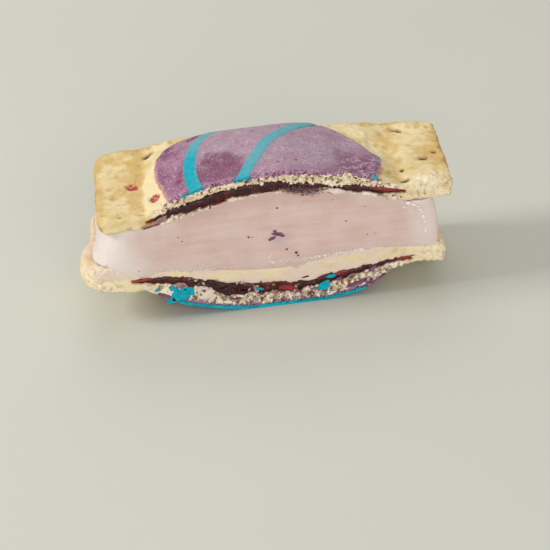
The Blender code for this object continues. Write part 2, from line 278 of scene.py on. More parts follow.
def rounded_back(
    x: Array, y: Array, half: float, back: float, radius: float
) -> tuple[Array, Array]:
    """A rectangle's points, moved so that its two corners at the back become arcs.

    A corner square is squeezed towards its inner corner by its longer side over its diagonal.

    Args:
        x: places across the rectangle, from its middle.
        y: places towards its back.
        half: half of its width.
        back: its back edge.
        radius: radius of the arcs.

    Returns:
        The moved x and y.
    """
    over_x = np.abs(x) - (half - radius)
    over_y = y - (back - radius)
    corner = (over_x > 0) & (over_y > 0)
    reach = np.where(corner, np.hypot(over_x, over_y), 1.0)
    squeeze = np.maximum(over_x, over_y) / reach
    new_x = np.copysign(half - radius + over_x * squeeze, x)
    new_y = back - radius + over_y * squeeze
    return np.where(corner, new_x, x), np.where(corner, new_y, y)


def rim_swell(edge: Array, rim: float, least: float) -> Array:
    """Share of the full thickness at a distance from the edge: a quarter round from least to 1."""
    t = np.clip(edge / rim, 0.0, 1.0)
    return least + (1 - least) * np.sqrt(1 - (1 - t) ** 2)


def round_corner(near: Array, other: Array, radius: Array | float) -> tuple[Array, Array]:
    """Turns the square edge between two faces into an arc.

    Distances below the radius from both faces are squeezed by the longer shortfall over the
    diagonal one, which draws the corner square into a quarter disc.

    Args:
        near: distance from one face.
        other: distance from the other face.
        radius: radius of the arc.

    Returns:
        The new distances.
    """
    over_one, over_two = radius - near, radius - other
    corner = (over_one > 0) & (over_two > 0)
    reach = np.where(corner, np.hypot(over_one, over_two), 1.0)
    squeeze = np.where(corner, np.maximum(over_one, over_two) / reach, 1.0)
    return radius - over_one * squeeze, radius - over_two * squeeze


def grid_lines(low: float, high: float, step: float, rim_low: float, rim_high: float) -> Array:
    """Grid lines from low to high: evenly apart, but closing up like a turning arc in both rims."""
    arc = 1 - np.cos(np.linspace(0, math.pi / 2, 6))
    count = max(round((high - low - rim_low - rim_high) / step), 1)
    middle = np.linspace(low + rim_low, high - rim_high, count + 1)
    return np.concatenate((low + rim_low * arc[:-1], middle, (high - rim_high * arc[:-1])[::-1]))


# Meshes


@dataclass
class Block:
    """The closed skin of a box of grid cells, its six faces sharing their borders."""

    u: Array
    v: Array
    w: Array
    at: tuple[Array, Array, Array] = field(init=False)
    faces: Array = field(init=False)

    def __post_init__(self) -> None:
        """Numbers the skin's corners and lists its faces, turned outwards."""
        shape = (len(self.u), len(self.v), len(self.w))
        skin = np.zeros(shape, bool)
        for axis in range(3):
            side = np.moveaxis(skin, axis, 0)
            side[0] = True
            side[-1] = True
        number = np.cumsum(skin.ravel()).reshape(shape) - 1
        self.at = np.nonzero(skin)
        faces = []
        for axis, end in product(range(3), (0, -1)):
            side = np.take(number, end, axis=axis)
            ring = [side[:-1, :-1], side[1:, :-1], side[1:, 1:], side[:-1, 1:]]
            if (end == 0) != (axis == 1):
                ring.reverse()
            faces.append(np.stack([corner.ravel() for corner in ring], axis=1))
        self.faces = np.concatenate(faces)

    def lines(self) -> tuple[Array, Array, Array]:
        """The u, v and w of every corner of the skin."""
        return self.u[self.at[0]], self.v[self.at[1]], self.w[self.at[2]]

    def front(self) -> Array:
        """Which corners lie on the face at the first v."""
        return self.at[1] == 0


def normals(points: Array, faces: Array) -> Array:
    """Outward direction at each corner: the mean of its faces' ones, weighted by their size."""
    one = points[faces[:, 2]] - points[faces[:, 0]]
    two = points[faces[:, 3]] - points[faces[:, 1]]
    facing = np.cross(one, two)
    total = np.zeros_like(points)
    for corner in range(4):
        for axis in range(3):
            total[:, axis] += np.bincount(faces[:, corner], facing[:, axis], len(points))
    return total / np.maximum(np.linalg.norm(total, axis=1, keepdims=True), 1e-12)


def make_piece(
    name: str, points: Array, faces: Array, masks: dict[str, Array], material: bpy.types.Material,
) -> bpy.types.Object:
    """Makes a smooth mesh object that rides on the body, with one attribute for each mask.

    Args:
        name: the piece's name.
        points: its corners, in millimetres.
        faces: its faces, four corners each.
        masks: values at the corners that the material reads.
        material: its finish.

    Returns:
        The new object.
    """
    low, high = (np.array(corner) / MM for corner in CAD_BOX)
    mesh = bpy.data.meshes.new(name)
    mesh.from_pydata((np.clip(points, low, high) * MM).tolist(), [], faces.tolist())
    for mask, values in masks.items():
        attribute = mesh.attributes.new(mask, "FLOAT", "POINT")
        attribute.data.foreach_set("value", np.clip(values, 0.0, 1.0).astype(np.float32))
    mesh.materials.append(material)
    mesh.shade_smooth()
    piece = bpy.data.objects.new(name, mesh)
    bpy.context.scene.collection.objects.link(piece)
    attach(piece, BODY)
    LOG.info("%s: %d corners, %d faces", name, len(points), len(faces))
    return piece


@dataclass
class Joined:
    """Closed shapes that are joined in one mesh, with one mask."""

    mask: str
    points: list[Array] = field(default_factory=list)
    faces: list[Array] = field(default_factory=list)
    values: list[Array] = field(default_factory=list)
    count: int = 0

    def add(self, points: Array, faces: Array, values: Array) -> None:
        """Adds one shape with its values of the mask."""
        self.points.append(points)
        self.faces.append(faces + self.count)
        self.values.append(values)
        self.count += len(points)

    def piece(self, name: str, material: bpy.types.Material, slot: str) -> bpy.types.Object:
        """Makes the joined piece."""
        points, faces, values = (
            np.concatenate(part) for part in (self.points, self.faces, self.values)
        )
        return make_piece(name, points, faces, {self.mask: values}, material)


def tiny_ball() -> tuple[Array, Array]:
    """Corners and faces of a ball: a box of two cells a side, pushed out to radius 1."""
    thirds = np.array([-1.0, 0.0, 1.0])
    block = Block(thirds, thirds, thirds)
    points = np.stack(block.lines(), axis=1)
    return points / np.linalg.norm(points, axis=1, keepdims=True), block.faces


@dataclass
class Heap:
    """Many small uneven grains joined in one mesh."""

    name: str
    slot: str
    material: bpy.types.Material
    seed: int
    roughness: float = 0.35

    def build(self, centres: Array, sizes: Array, flatness: float = 1.0) -> bpy.types.Object:
        """Puts a turned, stretched and dented ball at each centre.

        Args:
            centres: places of the grains.
            sizes: their radii.
            flatness: their mean thickness in y, in shares of their width.

        Returns:
            The joined piece, with a tone of its own for each grain.
        """
        draw = np.random.default_rng(self.seed)
        ball, faces = tiny_ball()
        count = len(centres)
        stretch = draw.uniform(0.7, 1.25, (count, 1, 3)) * np.array([1.0, flatness, 1.0])
        dents = 1 + self.roughness * draw.uniform(-1, 1, (count, len(ball), 1))
        turn = draw.uniform(0, math.tau, count)
        cos, sin = np.cos(turn)[:, None], np.sin(turn)[:, None]
        shape = ball[None] * dents * stretch * sizes[:, None, None]
        x = shape[..., 0] * cos - shape[..., 2] * sin
        z = shape[..., 0] * sin + shape[..., 2] * cos
        points = np.stack((x, shape[..., 1], z), axis=-1) + centres[:, None]
        joined = (faces[None] + np.arange(count)[:, None, None] * len(ball)).reshape(-1, 4)
        tone = np.repeat(draw.uniform(0, 1, count), len(ball))
        return make_piece(
            self.name, points.reshape(-1, 3), joined, {"tone": tone}, self.material
        )


@dataclass(frozen=True)
class Dab:
    """One thin dab on the cut: place, sizes, tilt, how far back it lies and how ragged it is."""

    x: float
    z: float
    half_x: float
    half_z: float
    tilt: float = 0.0
    thick: float = 0.35
    behind: float = 0.35
    ragged: float = 0.3


@dataclass
class Smear:
    """Several dabs of one kind, joined in one mesh."""

    name: str
    slot: str
    material: bpy.types.Material
    seed: int
    lumps: float = 0.9
    cell: float = 0.09
    cells: tuple[int, int] = (8, 44)
    wave_radius: float = 1.3

    def build(self, dabs: tuple[Dab, ...]) -> bpy.types.Object:
        """Makes each dab as a lens: a square grid drawn into a disc, its outline wavy.

        The lens is thickest in its middle, and its thickness falls to nothing at the outline as
        the root of 1 less the fourth power of the distance from the middle. Its front is lumpy.

        Args:
            dabs: the dabs.

        Returns:
            The joined piece.
        """
        joined = Joined("core")
        for number, dab in enumerate(dabs):
            cells = int(np.clip(round(dab.half_x / self.cell), *self.cells))
            side = np.linspace(-1, 1, cells + 1)
            block = Block(side, np.array([0.0, 1.0]), side)
            a, v, b = block.lines()
            p, q = a * np.sqrt(1 - b * b / 2), b * np.sqrt(1 - a * a / 2)
            away = np.hypot(p, q)
            ring = self.wave_radius / np.maximum(away, 1e-6)
            round_trip = rows(p * ring, q * ring, 9.1 * number)
            outline = 1 + dab.ragged * cloud(round_trip, 1.0, self.seed, 3)
            turn = math.radians(dab.tilt)
            along, up = p * dab.half_x * outline, q * dab.half_z * outline
            x = dab.x + along * math.cos(turn) - up * math.sin(turn)
            z = dab.z + along * math.sin(turn) + up * math.cos(turn)
            bumps = 1 + self.lumps * cloud(rows(x, 0.0, z), 0.8, self.seed + 5, 2)
            thick = dab.thick * np.sqrt(np.clip(1 - away**4, 0, 1)) * np.clip(bumps, 0.25, 2)
            y = CUT_Y + dab.behind + np.where(v == 0, -thick, 0.3 * dab.thick * (1 - away**2))
            joined.add(rows(x, y, z), block.faces, np.clip(1 - away, 0, 1))
        return joined.piece(self.name, self.material, self.slot)


# Finishes


def linear(colour: Colour) -> tuple[float, float, float, float]:
    """A screen colour of 0 to 255 as the linear colour that shaders take."""
    parts = np.array(colour) / 255.0
    parts = np.where(parts <= 0.04045, parts / 12.92, ((parts + 0.055) / 1.055) ** 2.4)
    return (*(float(part) for part in parts), 1.0)


class Recipe:
    """A Principled material with short ways to add nodes to it."""

    def __init__(self, name: str, roughness: float = 0.6, **constants: float) -> None:
        """Starts the material.

        Args:
            name: the material's name.
            roughness: the shader's roughness where nothing drives it.
            constants: other sockets of the shader by name, with _ for a space.
        """
        self.material = bpy.data.materials.new(name)
        self.material.use_nodes = True
        self.tree = self.material.node_tree
        self.shader = self.tree.nodes["Principled BSDF"]
        self.shader.inputs["Roughness"].default_value = roughness
        for key, value in constants.items():
            self.shader.inputs[key.replace("_", " ")].default_value = value
        self.place = self.tree.nodes.new("ShaderNodeTexCoord").outputs["Object"]

    def put(self, socket: bpy.types.NodeSocket, value: object) -> None:
        """Links a socket to another one, or sets it to a value."""
        if isinstance(value, bpy.types.NodeSocket):
            self.tree.links.new(value, socket)
        else:
            socket.default_value = value

    def mask(self, name: str) -> bpy.types.NodeSocket:
        """The mesh's own values under that name."""
        node = self.tree.nodes.new("ShaderNodeAttribute")
        node.attribute_name = name
        return node.outputs["Fac"]

    def noise(
        self, size: float, detail: float = 2.0,
        stretch: tuple[float, float, float] = (1.0, 1.0, 1.0), seed: float = 0.0
    ) -> bpy.types.NodeSocket:
        """Noise of that size in millimetres, from 0 to 1, drawn out along an axis by its stretch.

        Args:
            size: size of the largest features.
            detail: how many finer layers it has.
            stretch: how much longer the features are along each axis.
            seed: shift of the pattern, in millimetres.

        Returns:
            The noise's value.
        """
        mapping = self.tree.nodes.new("ShaderNodeMapping")
        self.put(mapping.inputs["Vector"], self.place)
        mapping.inputs["Scale"].default_value = tuple(1.0 / part for part in stretch)
        mapping.inputs["Location"].default_value = (seed * MM, 0.0, seed * MM)
        node = self.tree.nodes.new("ShaderNodeTexNoise")
        self.put(node.inputs["Vector"], mapping.outputs["Vector"])
        node.inputs["Scale"].default_value = 1.0 / (size * MM)
        node.inputs["Detail"].default_value = detail
        return node.outputs["Fac"]

    def span(
        self, value: object, low: float, high: float, to_low: float = 0.0, to_high: float = 1.0
    ) -> bpy.types.NodeSocket:
        """Maps low to to_low and high to to_high, smoothly and no further."""
        node = self.tree.nodes.new("ShaderNodeMapRange")
        node.interpolation_type = "SMOOTHSTEP"
        for name, part in zip(
            ("Value", "From Min", "From Max", "To Min", "To Max"),
            (value, low, high, to_low, to_high)
        ):
            self.put(node.inputs[name], part)
        return node.outputs["Result"]

    def patches(
        self, size: float, detail: float, low: float, high: float,
        to_low: float = 0.0, to_high: float = 1.0, seed: float = 0.0,
    ) -> bpy.types.NodeSocket:
        """Noise whose values from low to high are mapped from to_low to to_high.

        Args:
            size: size of the largest features, in millimetres.
            detail: how many finer layers it has.
            low: the value that becomes to_low.
            high: the value that becomes to_high.
            to_low: result at low and below it.
            to_high: result at high and above it.
            seed: shift of the pattern, in millimetres.

        Returns:
            The mapped noise.
        """
        return self.span(self.noise(size, detail, seed=seed), low, high, to_low, to_high)

    def sum(self, kind: str, one: object, other: object) -> bpy.types.NodeSocket:
        """One operation on two numbers, kept between 0 and 1."""
        node = self.tree.nodes.new("ShaderNodeMath")
        node.operation = kind
        node.use_clamp = True
        self.put(node.inputs[0], one)
        self.put(node.inputs[1], other)
        return node.outputs["Value"]

    def blend(
        self, share: object, one: object, other: object, kind: str = "MIX"
    ) -> bpy.types.NodeSocket:
        """A colour between one and the other, each a socket or a screen colour."""
        node = self.tree.nodes.new("ShaderNodeMix")
        node.data_type = "RGBA"
        node.blend_type = kind
        self.put(node.inputs[0], share)
        for index, part in ((6, one), (7, other)):
            self.put(
                node.inputs[index], part if isinstance(part, bpy.types.NodeSocket) else linear(part)
            )
        return node.outputs[2]

    def bumps(self, *layers: tuple[object, float]) -> None:
        """Adds fine relief from layers of (height from 0 to 1, depth in millimetres)."""
        below = None
        for value, depth in layers:
            node = self.tree.nodes.new("ShaderNodeBump")
            node.inputs["Distance"].default_value = depth * MM
            self.put(node.inputs["Height"], value)
            if below is not None:
                self.put(node.inputs["Normal"], below)
            below = node.outputs["Normal"]
        self.put(self.shader.inputs["Normal"], below)

    def finish(self, colour: bpy.types.NodeSocket, roughness: object = None) -> bpy.types.Material:
        """Sets the shader's colour, and its roughness where that changes over the surface."""
        self.put(self.shader.inputs["Base Color"], colour)
        if roughness is not None:
            self.put(self.shader.inputs["Roughness"], roughness)
        return self.material


@dataclass(frozen=True)
class CrustFinish:
    """Baked pastry: pale and dry, toasted on its rims and bumps, open crumb where it is cut, with
    painted shade in its hollows and pits.
    """

    pale: Colour = (239, 221, 175)
    gold: Colour = (213, 181, 117)
    brown: Colour = (187, 140, 80)
    crumb: Colour = (254, 242, 218)
    # Colour of the painted shade in pores, holes and gaps
    shaded_pore: Colour = (112, 72, 40)
    stain: Colour = (84, 36, 36)
    jelly: Colour = (166, 66, 58)
    jelly_light: Colour = (214, 142, 122)
    milk: Colour = (230, 208, 192)

    def material(self, name: str) -> bpy.types.Material:
        """Mixes dough, toasting with painted shade, crumb, painted shade in pores, jam stain and
        smeared cream by the piece's masks.
        """
        mix = Recipe(name, 0.78, Specular_IOR_Level=0.3)
        broad = mix.noise(2.6, 4.0)
        fine = mix.noise(0.45, 3.0)
        # Toasting, which also carries painted shade in the hollows and valleys
        toast_and_shade = mix.sum("ADD", mix.mask("toast_and_shade"), mix.span(broad, 0.3, 0.8, -0.14, 0.14))
        colour = mix.blend(mix.span(toast_and_shade, 0.1, 0.65), self.pale, self.gold)
        colour = mix.blend(mix.span(toast_and_shade, 0.62, 1.1), colour, self.brown)
        grain = mix.blend(mix.patches(0.7, 4.0, 0.22, 0.55, seed=3.0), self.gold, self.crumb)
        # Painted shade in the open crumb's pores
        grain = mix.blend(mix.patches(0.4, 3.0, 0.6, 0.78, seed=9.0), grain, self.shaded_pore)
        colour = mix.blend(mix.mask("crumb"), colour, grain)
        # Painted shade in pores, docking holes and gaps between crumbly lumps
        colour = mix.blend(mix.mask("shaded_pore"), colour, self.shaded_pore)
        colour = mix.blend(
            mix.patches(0.4, 2.0, 0.68, 0.76, 0.0, 0.4, seed=41.0), colour, self.brown
        )
        colour = mix.blend(mix.mask("stain"), colour, self.stain)
        colour = mix.blend(mix.mask("milk"), colour, self.milk)
        jelly = mix.blend(mix.patches(0.7, 3.0, 0.45, 0.65, seed=5.0), self.jelly, self.jelly_light)
        colour = mix.blend(mix.mask("jelly"), colour, jelly)
        colour = mix.blend(
            0.14, colour, mix.blend(fine, (150, 140, 120), (255, 255, 250)), "OVERLAY"
        )
        mix.bumps((mix.noise(1.1, 3.0), 0.16), (fine, 0.1), (mix.noise(0.16, 2.0), 0.04))
        return mix.finish(colour, mix.span(mix.mask("stain"), 0.2, 1.0, 0.78, 0.4))


@dataclass(frozen=True)
class IcingFinish:
    """Satin sugar icing: mottled purple under a whitish frost with painted sheen, granular at its
    broken edges.
    """

    deep: Colour = (112, 32, 82)
    mauve: Colour = (154, 94, 130)
    frost_and_sheen: Colour = (170, 149, 161)
    dust: Colour = (214, 194, 206)
    rim: Colour = (206, 166, 150)
    crystal: Colour = (216, 174, 202)
    dark: Colour = (78, 30, 60)

    def material(self, name: str) -> bpy.types.Material:
        """Mixes deep and pale purple, frost with painted sheen, a tan rim and sugar grains by the
        piece's masks.
        """
        mix = Recipe(
            name, 0.5, Specular_IOR_Level=0.45, Subsurface_Weight=0.12, Subsurface_Scale=0.0008
        )
        mottle = mix.noise(3.2, 5.0)
        fine = mix.noise(0.5, 4.0, seed=7.0)
        depth = mix.sum("ADD", mix.mask("deep"), mix.span(mottle, 0.35, 0.7, -0.25, 0.25))
        colour = mix.blend(mix.span(depth, 0.15, 0.85), self.mauve, self.deep)
        # Whitish frost with painted sheen, mixed over the purple
        frost = mix.sum(
            "MULTIPLY", mix.mask("frost_and_sheen"),
            mix.span(
                mix.sum("ADD", fine, mix.span(mottle, 0.3, 0.8, -0.2, 0.2)), 0.25, 0.65, 0.55, 1.0
            )
        )
        colour = mix.blend(frost, colour, self.frost_and_sheen)
        colour = mix.blend(mix.mask("rim"), colour, self.rim)
        powder = mix.sum(
            "MULTIPLY", mix.patches(0.4, 2.0, 0.46, 0.72, seed=11.0),
            mix.patches(2.4, 3.0, 0.35, 0.65, 0.12, 0.75, seed=17.0)
        )
        powder = mix.sum("MULTIPLY", powder, mix.span(depth, 0.5, 1.0, 1.0, 0.45))
        colour = mix.blend(powder, colour, self.dust)
        colour = mix.blend(
            mix.patches(0.8, 4.0, 0.55, 0.75, 0.0, 0.5, seed=23.0), colour, self.deep
        )
        sugar = mix.blend(mix.patches(0.42, 2.0, 0.5, 0.6, seed=31.0), self.crystal, self.dark)
        colour = mix.blend(mix.mask("torn"), colour, sugar)
        # Painted shade in the icing's pits and crevices
        colour = mix.blend(mix.mask("shaded_pore"), colour, self.dark)
        colour = mix.blend(
            0.22, colour, mix.blend(mix.noise(0.2, 3.0), (100, 100, 100), (255, 255, 255)),
            "OVERLAY"
        )
        mix.bumps((mix.noise(1.4, 3.0), 0.07), (fine, 0.04), (mix.noise(0.14, 2.0), 0.025))
        return mix.finish(colour, mix.span(frost, 0.0, 1.0, 0.42, 0.58))


@dataclass(frozen=True)
class DrizzleFinish:
    """Teal drizzle, set hard, with the same frost and painted sheen as the icing under it."""

    teal: Colour = (0, 176, 194)
    dark: Colour = (0, 152, 174)
    frost_and_sheen: Colour = (112, 172, 180)

    def material(self, name: str) -> bpy.types.Material:
        """Mixes two teals by noise, and frost with painted sheen by the piece's mask."""
        mix = Recipe(name, 0.45, Specular_IOR_Level=0.2)
        colour = mix.blend(mix.patches(1.2, 4.0, 0.35, 0.7), self.teal, self.dark)
        frost = mix.sum(
            "MULTIPLY", mix.mask("frost_and_sheen"), mix.patches(0.6, 4.0, 0.25, 0.7, 0.5, 1.0, seed=7.0)
        )
        colour = mix.blend(frost, colour, self.frost_and_sheen)
        mix.bumps((mix.noise(0.8, 3.0), 0.05), (mix.noise(0.2, 2.0), 0.02))
        return mix.finish(colour, mix.span(frost, 0.0, 1.0, 0.38, 0.58))


@dataclass(frozen=True)
class CreamFinish:
    """Knife-cut ice cream: pinkish beige and softly streaked, off-white and wet where it melts,
    with painted light on its left side.
    """

    pink: Colour = (221, 195, 188)
    warm: Colour = (212, 182, 174)
    milk: Colour = (231, 219, 214)
    shade: Colour = (203, 172, 161)
    stain: Colour = (112, 70, 76)
    ash: Colour = (178, 166, 174)

    def material(self, name: str) -> bpy.types.Material:
        """Mixes streaks along x, melted milk with painted light, painted shade, berry and jam
        stains by the piece's masks.
        """
        mix = Recipe(
            name, 0.42, Specular_IOR_Level=0.5, Subsurface_Weight=0.35, Subsurface_Scale=0.0018,
            Coat_Weight=0.12, Coat_Roughness=0.25
        )
        mix.shader.inputs["Subsurface Radius"].default_value = (1.0, 0.62, 0.5)
        streak = mix.sum(
            "ADD", mix.noise(1.6, 4.0, (9.0, 1.0, 1.0)),
            mix.patches(5.0, 3.0, 0.3, 0.7, -0.14, 0.14)
        )
        fine = mix.noise(0.35, 3.0)
        colour = mix.blend(mix.span(streak, 0.25, 0.85), self.pink, self.warm)
        colour = mix.blend(mix.mask("shade"), colour, self.shade)
        # Melted milk, with painted light towards the left side
        colour = mix.blend(mix.mask("milk"), colour, self.milk)
        colour = mix.blend(mix.mask("ash"), colour, self.ash)
        colour = mix.blend(mix.mask("stain"), colour, self.stain)
        colour = mix.blend(
            0.07, colour, mix.blend(fine, (110, 110, 110), (255, 255, 255)), "OVERLAY"
        )
        mix.bumps(
            (mix.noise(0.6, 3.0, (12.0, 1.0, 1.0), seed=4.0), 0.05), (mix.noise(0.9, 3.0), 0.05),
            (fine, 0.015)
        )
        wet = mix.sum("ADD", mix.mask("wet"), mix.patches(2.0, 2.0, 0.55, 0.75, 0.0, 0.3))
        return mix.finish(colour, mix.span(wet, 0.0, 1.0, 0.5, 0.22))


@dataclass(frozen=True)
class JamFinish:
    """Dark sticky jam with redder, see-through patches."""

    dark: Colour = (56, 14, 18)
    red: Colour = (142, 34, 36)

    def material(self, name: str) -> bpy.types.Material:
        """Mixes dark and red jam by noise and the piece's mask."""
        mix = Recipe(
            name, 0.3, Specular_IOR_Level=0.35, Subsurface_Weight=0.1, Subsurface_Scale=0.0005
        )
        share = mix.sum("ADD", mix.mask("red"), mix.patches(1.6, 4.0, 0.5, 0.8, 0.0, 0.55))
        colour = mix.blend(share, self.dark, self.red)
        mix.bumps((mix.noise(0.9, 3.0), 0.18), (mix.noise(0.25, 2.0), 0.06))
        return mix.finish(colour, mix.patches(0.5, 3.0, 0.35, 0.65, 0.2, 0.5, seed=5.0))


@dataclass(frozen=True)
class SpeckleFinish:
    """Loose grains, each with a tone of its own between a light and a dark colour."""

    light: Colour
    dark: Colour
    roughness: float = 0.75

    def material(self, name: str, mask: str = "tone") -> bpy.types.Material:
        """Mixes the two colours by the mask and fine noise."""
        mix = Recipe(name, self.roughness, Specular_IOR_Level=0.35)
        share = mix.sum("ADD", mix.mask(mask), mix.patches(0.4, 3.0, 0.3, 0.7, -0.2, 0.2))
        mix.bumps((mix.noise(0.3, 3.0), 0.1))
        return mix.finish(mix.blend(share, self.light, self.dark))


# Shapes of the layers


@dataclass(frozen=True)
class Height:
    """One face of a pastry: its height at the cut, at the uncut end, and how it swells between."""

    cut: Stations
    back: Stations
    flattens_from: float
    dome: float = 0.0

    def at(self, x: Array, y: Array | float) -> Array:
        """Height at (x, y): an eased mix of the two ends, with a dome of squared cosines on it."""
        share = ease((y - self.flattens_from) / (BACK_Y - self.flattens_from))
        level = through(self.cut, x) * (1 - share) + through(self.back, x) * share
        if self.dome:
            reach = np.where(y > DOME_CENTRE[1], BACK_Y - DOME_CENTRE[1], DOME_CENTRE[1] - CUT_Y)
            along = np.minimum(np.abs(x - DOME_CENTRE[0]) / DOME_HALF_WIDTH, 1)
            deep = np.minimum(np.abs(y - DOME_CENTRE[1]) / reach, 1)
            level = (
                level + self.dome * (np.cos(math.pi / 2 * along) * np.cos(math.pi / 2 * deep)) ** 2
            )
        return level


UPPER_FACE = Height(
    (
        (-36, 25.0), (-28, 25.2), (-21, 26.8), (-13, 29.1), (-4, 30.0), (3, 30.2), (11, 29.2),
        (20, 26.9), (27, 25.4), (39, 26.0)
    ),
    ((-36, 26.8), (-24, 27.9), (-8, 29.1), (4, 28.8), (20, 27.4), (39, 25.8)),
    -4.0,
    2.2,
)
UPPER_UNDER = Height(
    (
        (-36, 21.0), (-27, 21.5), (-17, 23.3), (-9, 25.5), (0, 26.2), (8, 25.7), (17, 24.1),
        (24, 21.9), (30, 20.7), (39, 20.6)
    ),
    ((-36, 22.2), (-20, 23.8), (-4, 24.6), (20, 22.8), (39, 21.2)),
    -4.0,
    0.9,
)
LOWER_FACE = Height(
    (
        (-39, 13.6), (-35, 13.3), (-27, 11.6), (-18, 11.0), (-6, 9.3), (1, 8.9), (7, 9.5),
        (14, 10.5), (20, 11.0), (27, 10.5), (36, 10.4)
    ),
    ((-39, 13.2), (-20, 11.0), (0, 9.6), (20, 10.3), (36, 10.6)),
    7.0,
)
LOWER_UNDER = Height(
    (
        (-39, 7.7), (-34, 7.0), (-30, 6.9), (-25, 5.7), (-18, 3.4), (-10, 1.6), (-5, 1.1),
        (8, 1.05), (14, 1.6), (20, 3.0), (26, 5.4), (30, 5.7), (36, 5.3)
    ),
    ((-39, 8.5), (-20, 5.6), (0, 3.6), (20, 4.9), (36, 5.7)),
    7.0,
)


@dataclass(frozen=True)
class JamLine:
    """Where the jam shows in a cut: its middle height and half thickness along x."""

    centre: Stations
    half: Stations
    seed: int
    breaks: tuple[tuple[float, float], ...] = ()

    def limits(self, x: Array) -> tuple[Array, Array]:
        """Lower and upper edge of the jam at x, both ragged, and pinched where crumbs hide it."""
        where = rows(x, 0.0)
        shows = np.ones_like(x)
        for middle, width in self.breaks:
            shows = shows * (1 - 0.95 * bell(x, middle, width))
        half = through(self.half, x) * shows
        low = (
            -half * (1 + 0.6 * cloud(where, 2.2, self.seed))
            - 0.3 * shows * cloud(where, 0.9, self.seed + 9)
        )
        high = (
            half * (1 + 0.6 * cloud(where, 2.6, self.seed + 20))
            + 0.3 * shows * cloud(where, 0.8, self.seed + 30)
        )
        middle = through(self.centre, x)
        return middle + np.minimum(low, -0.03), middle + np.maximum(high, 0.03)

    def inside(self, x: Array, z: Array, room: float) -> Array:
        """Share by which (x, z) lies in the jam: 1 inside, 0 further than room outside."""
        low, high = self.limits(x)
        within = between(x, self.centre[0][0], self.centre[-1][0], 0.5)
        return within * ease((z - low) / room + 1) * ease((high - z) / room + 1)


UPPER_JAM = JamLine(
    (
        (-26, 23.2), (-22, 24.4), (-19, 25.1), (-14, 26.3), (-8, 27.4), (-2, 28.0), (5, 27.8),
        (15, 25.8), (20, 24.8), (28.5, 23.2)
    ),
    (
        (-26, 0.15), (-23.5, 0.45), (-21, 0.85), (-17, 1.05), (-8, 1.05), (-2, 1.0), (4, 0.7),
        (10, 0.35), (17, 0.5), (24, 0.5), (28.5, 0.15)
    ),
    41,
    ((13.6, 1.9),),
)
LOWER_JAM = JamLine(
    (
        (-30.5, 9.8), (-26, 9.3), (-18.5, 8.1), (-14, 6.6), (-11, 5.6), (-8, 5.1), (-3, 4.5),
        (2, 4.2), (7, 4.0), (10.5, 4.9),
        (14, 5.3), (18, 5.9), (24, 7.0), (28.7, 7.3),
    ),
    (
        (-30.5, 0.2), (-28, 0.5), (-22, 0.75), (-17, 0.9), (-13, 1.15), (-11, 1.5), (-8, 1.3),
        (-5, 1.15), (3, 1.05), (7, 0.6),
        (10, 0.8), (14, 0.8), (20, 0.5), (28.7, 0.3),
    ),
    57,
)


@dataclass(frozen=True)
class Hole(Oval):
    """A docking hole in a pastry, with its depth and how much jam it shows."""

    depth: float = 1.1
    jam: float = 0.0


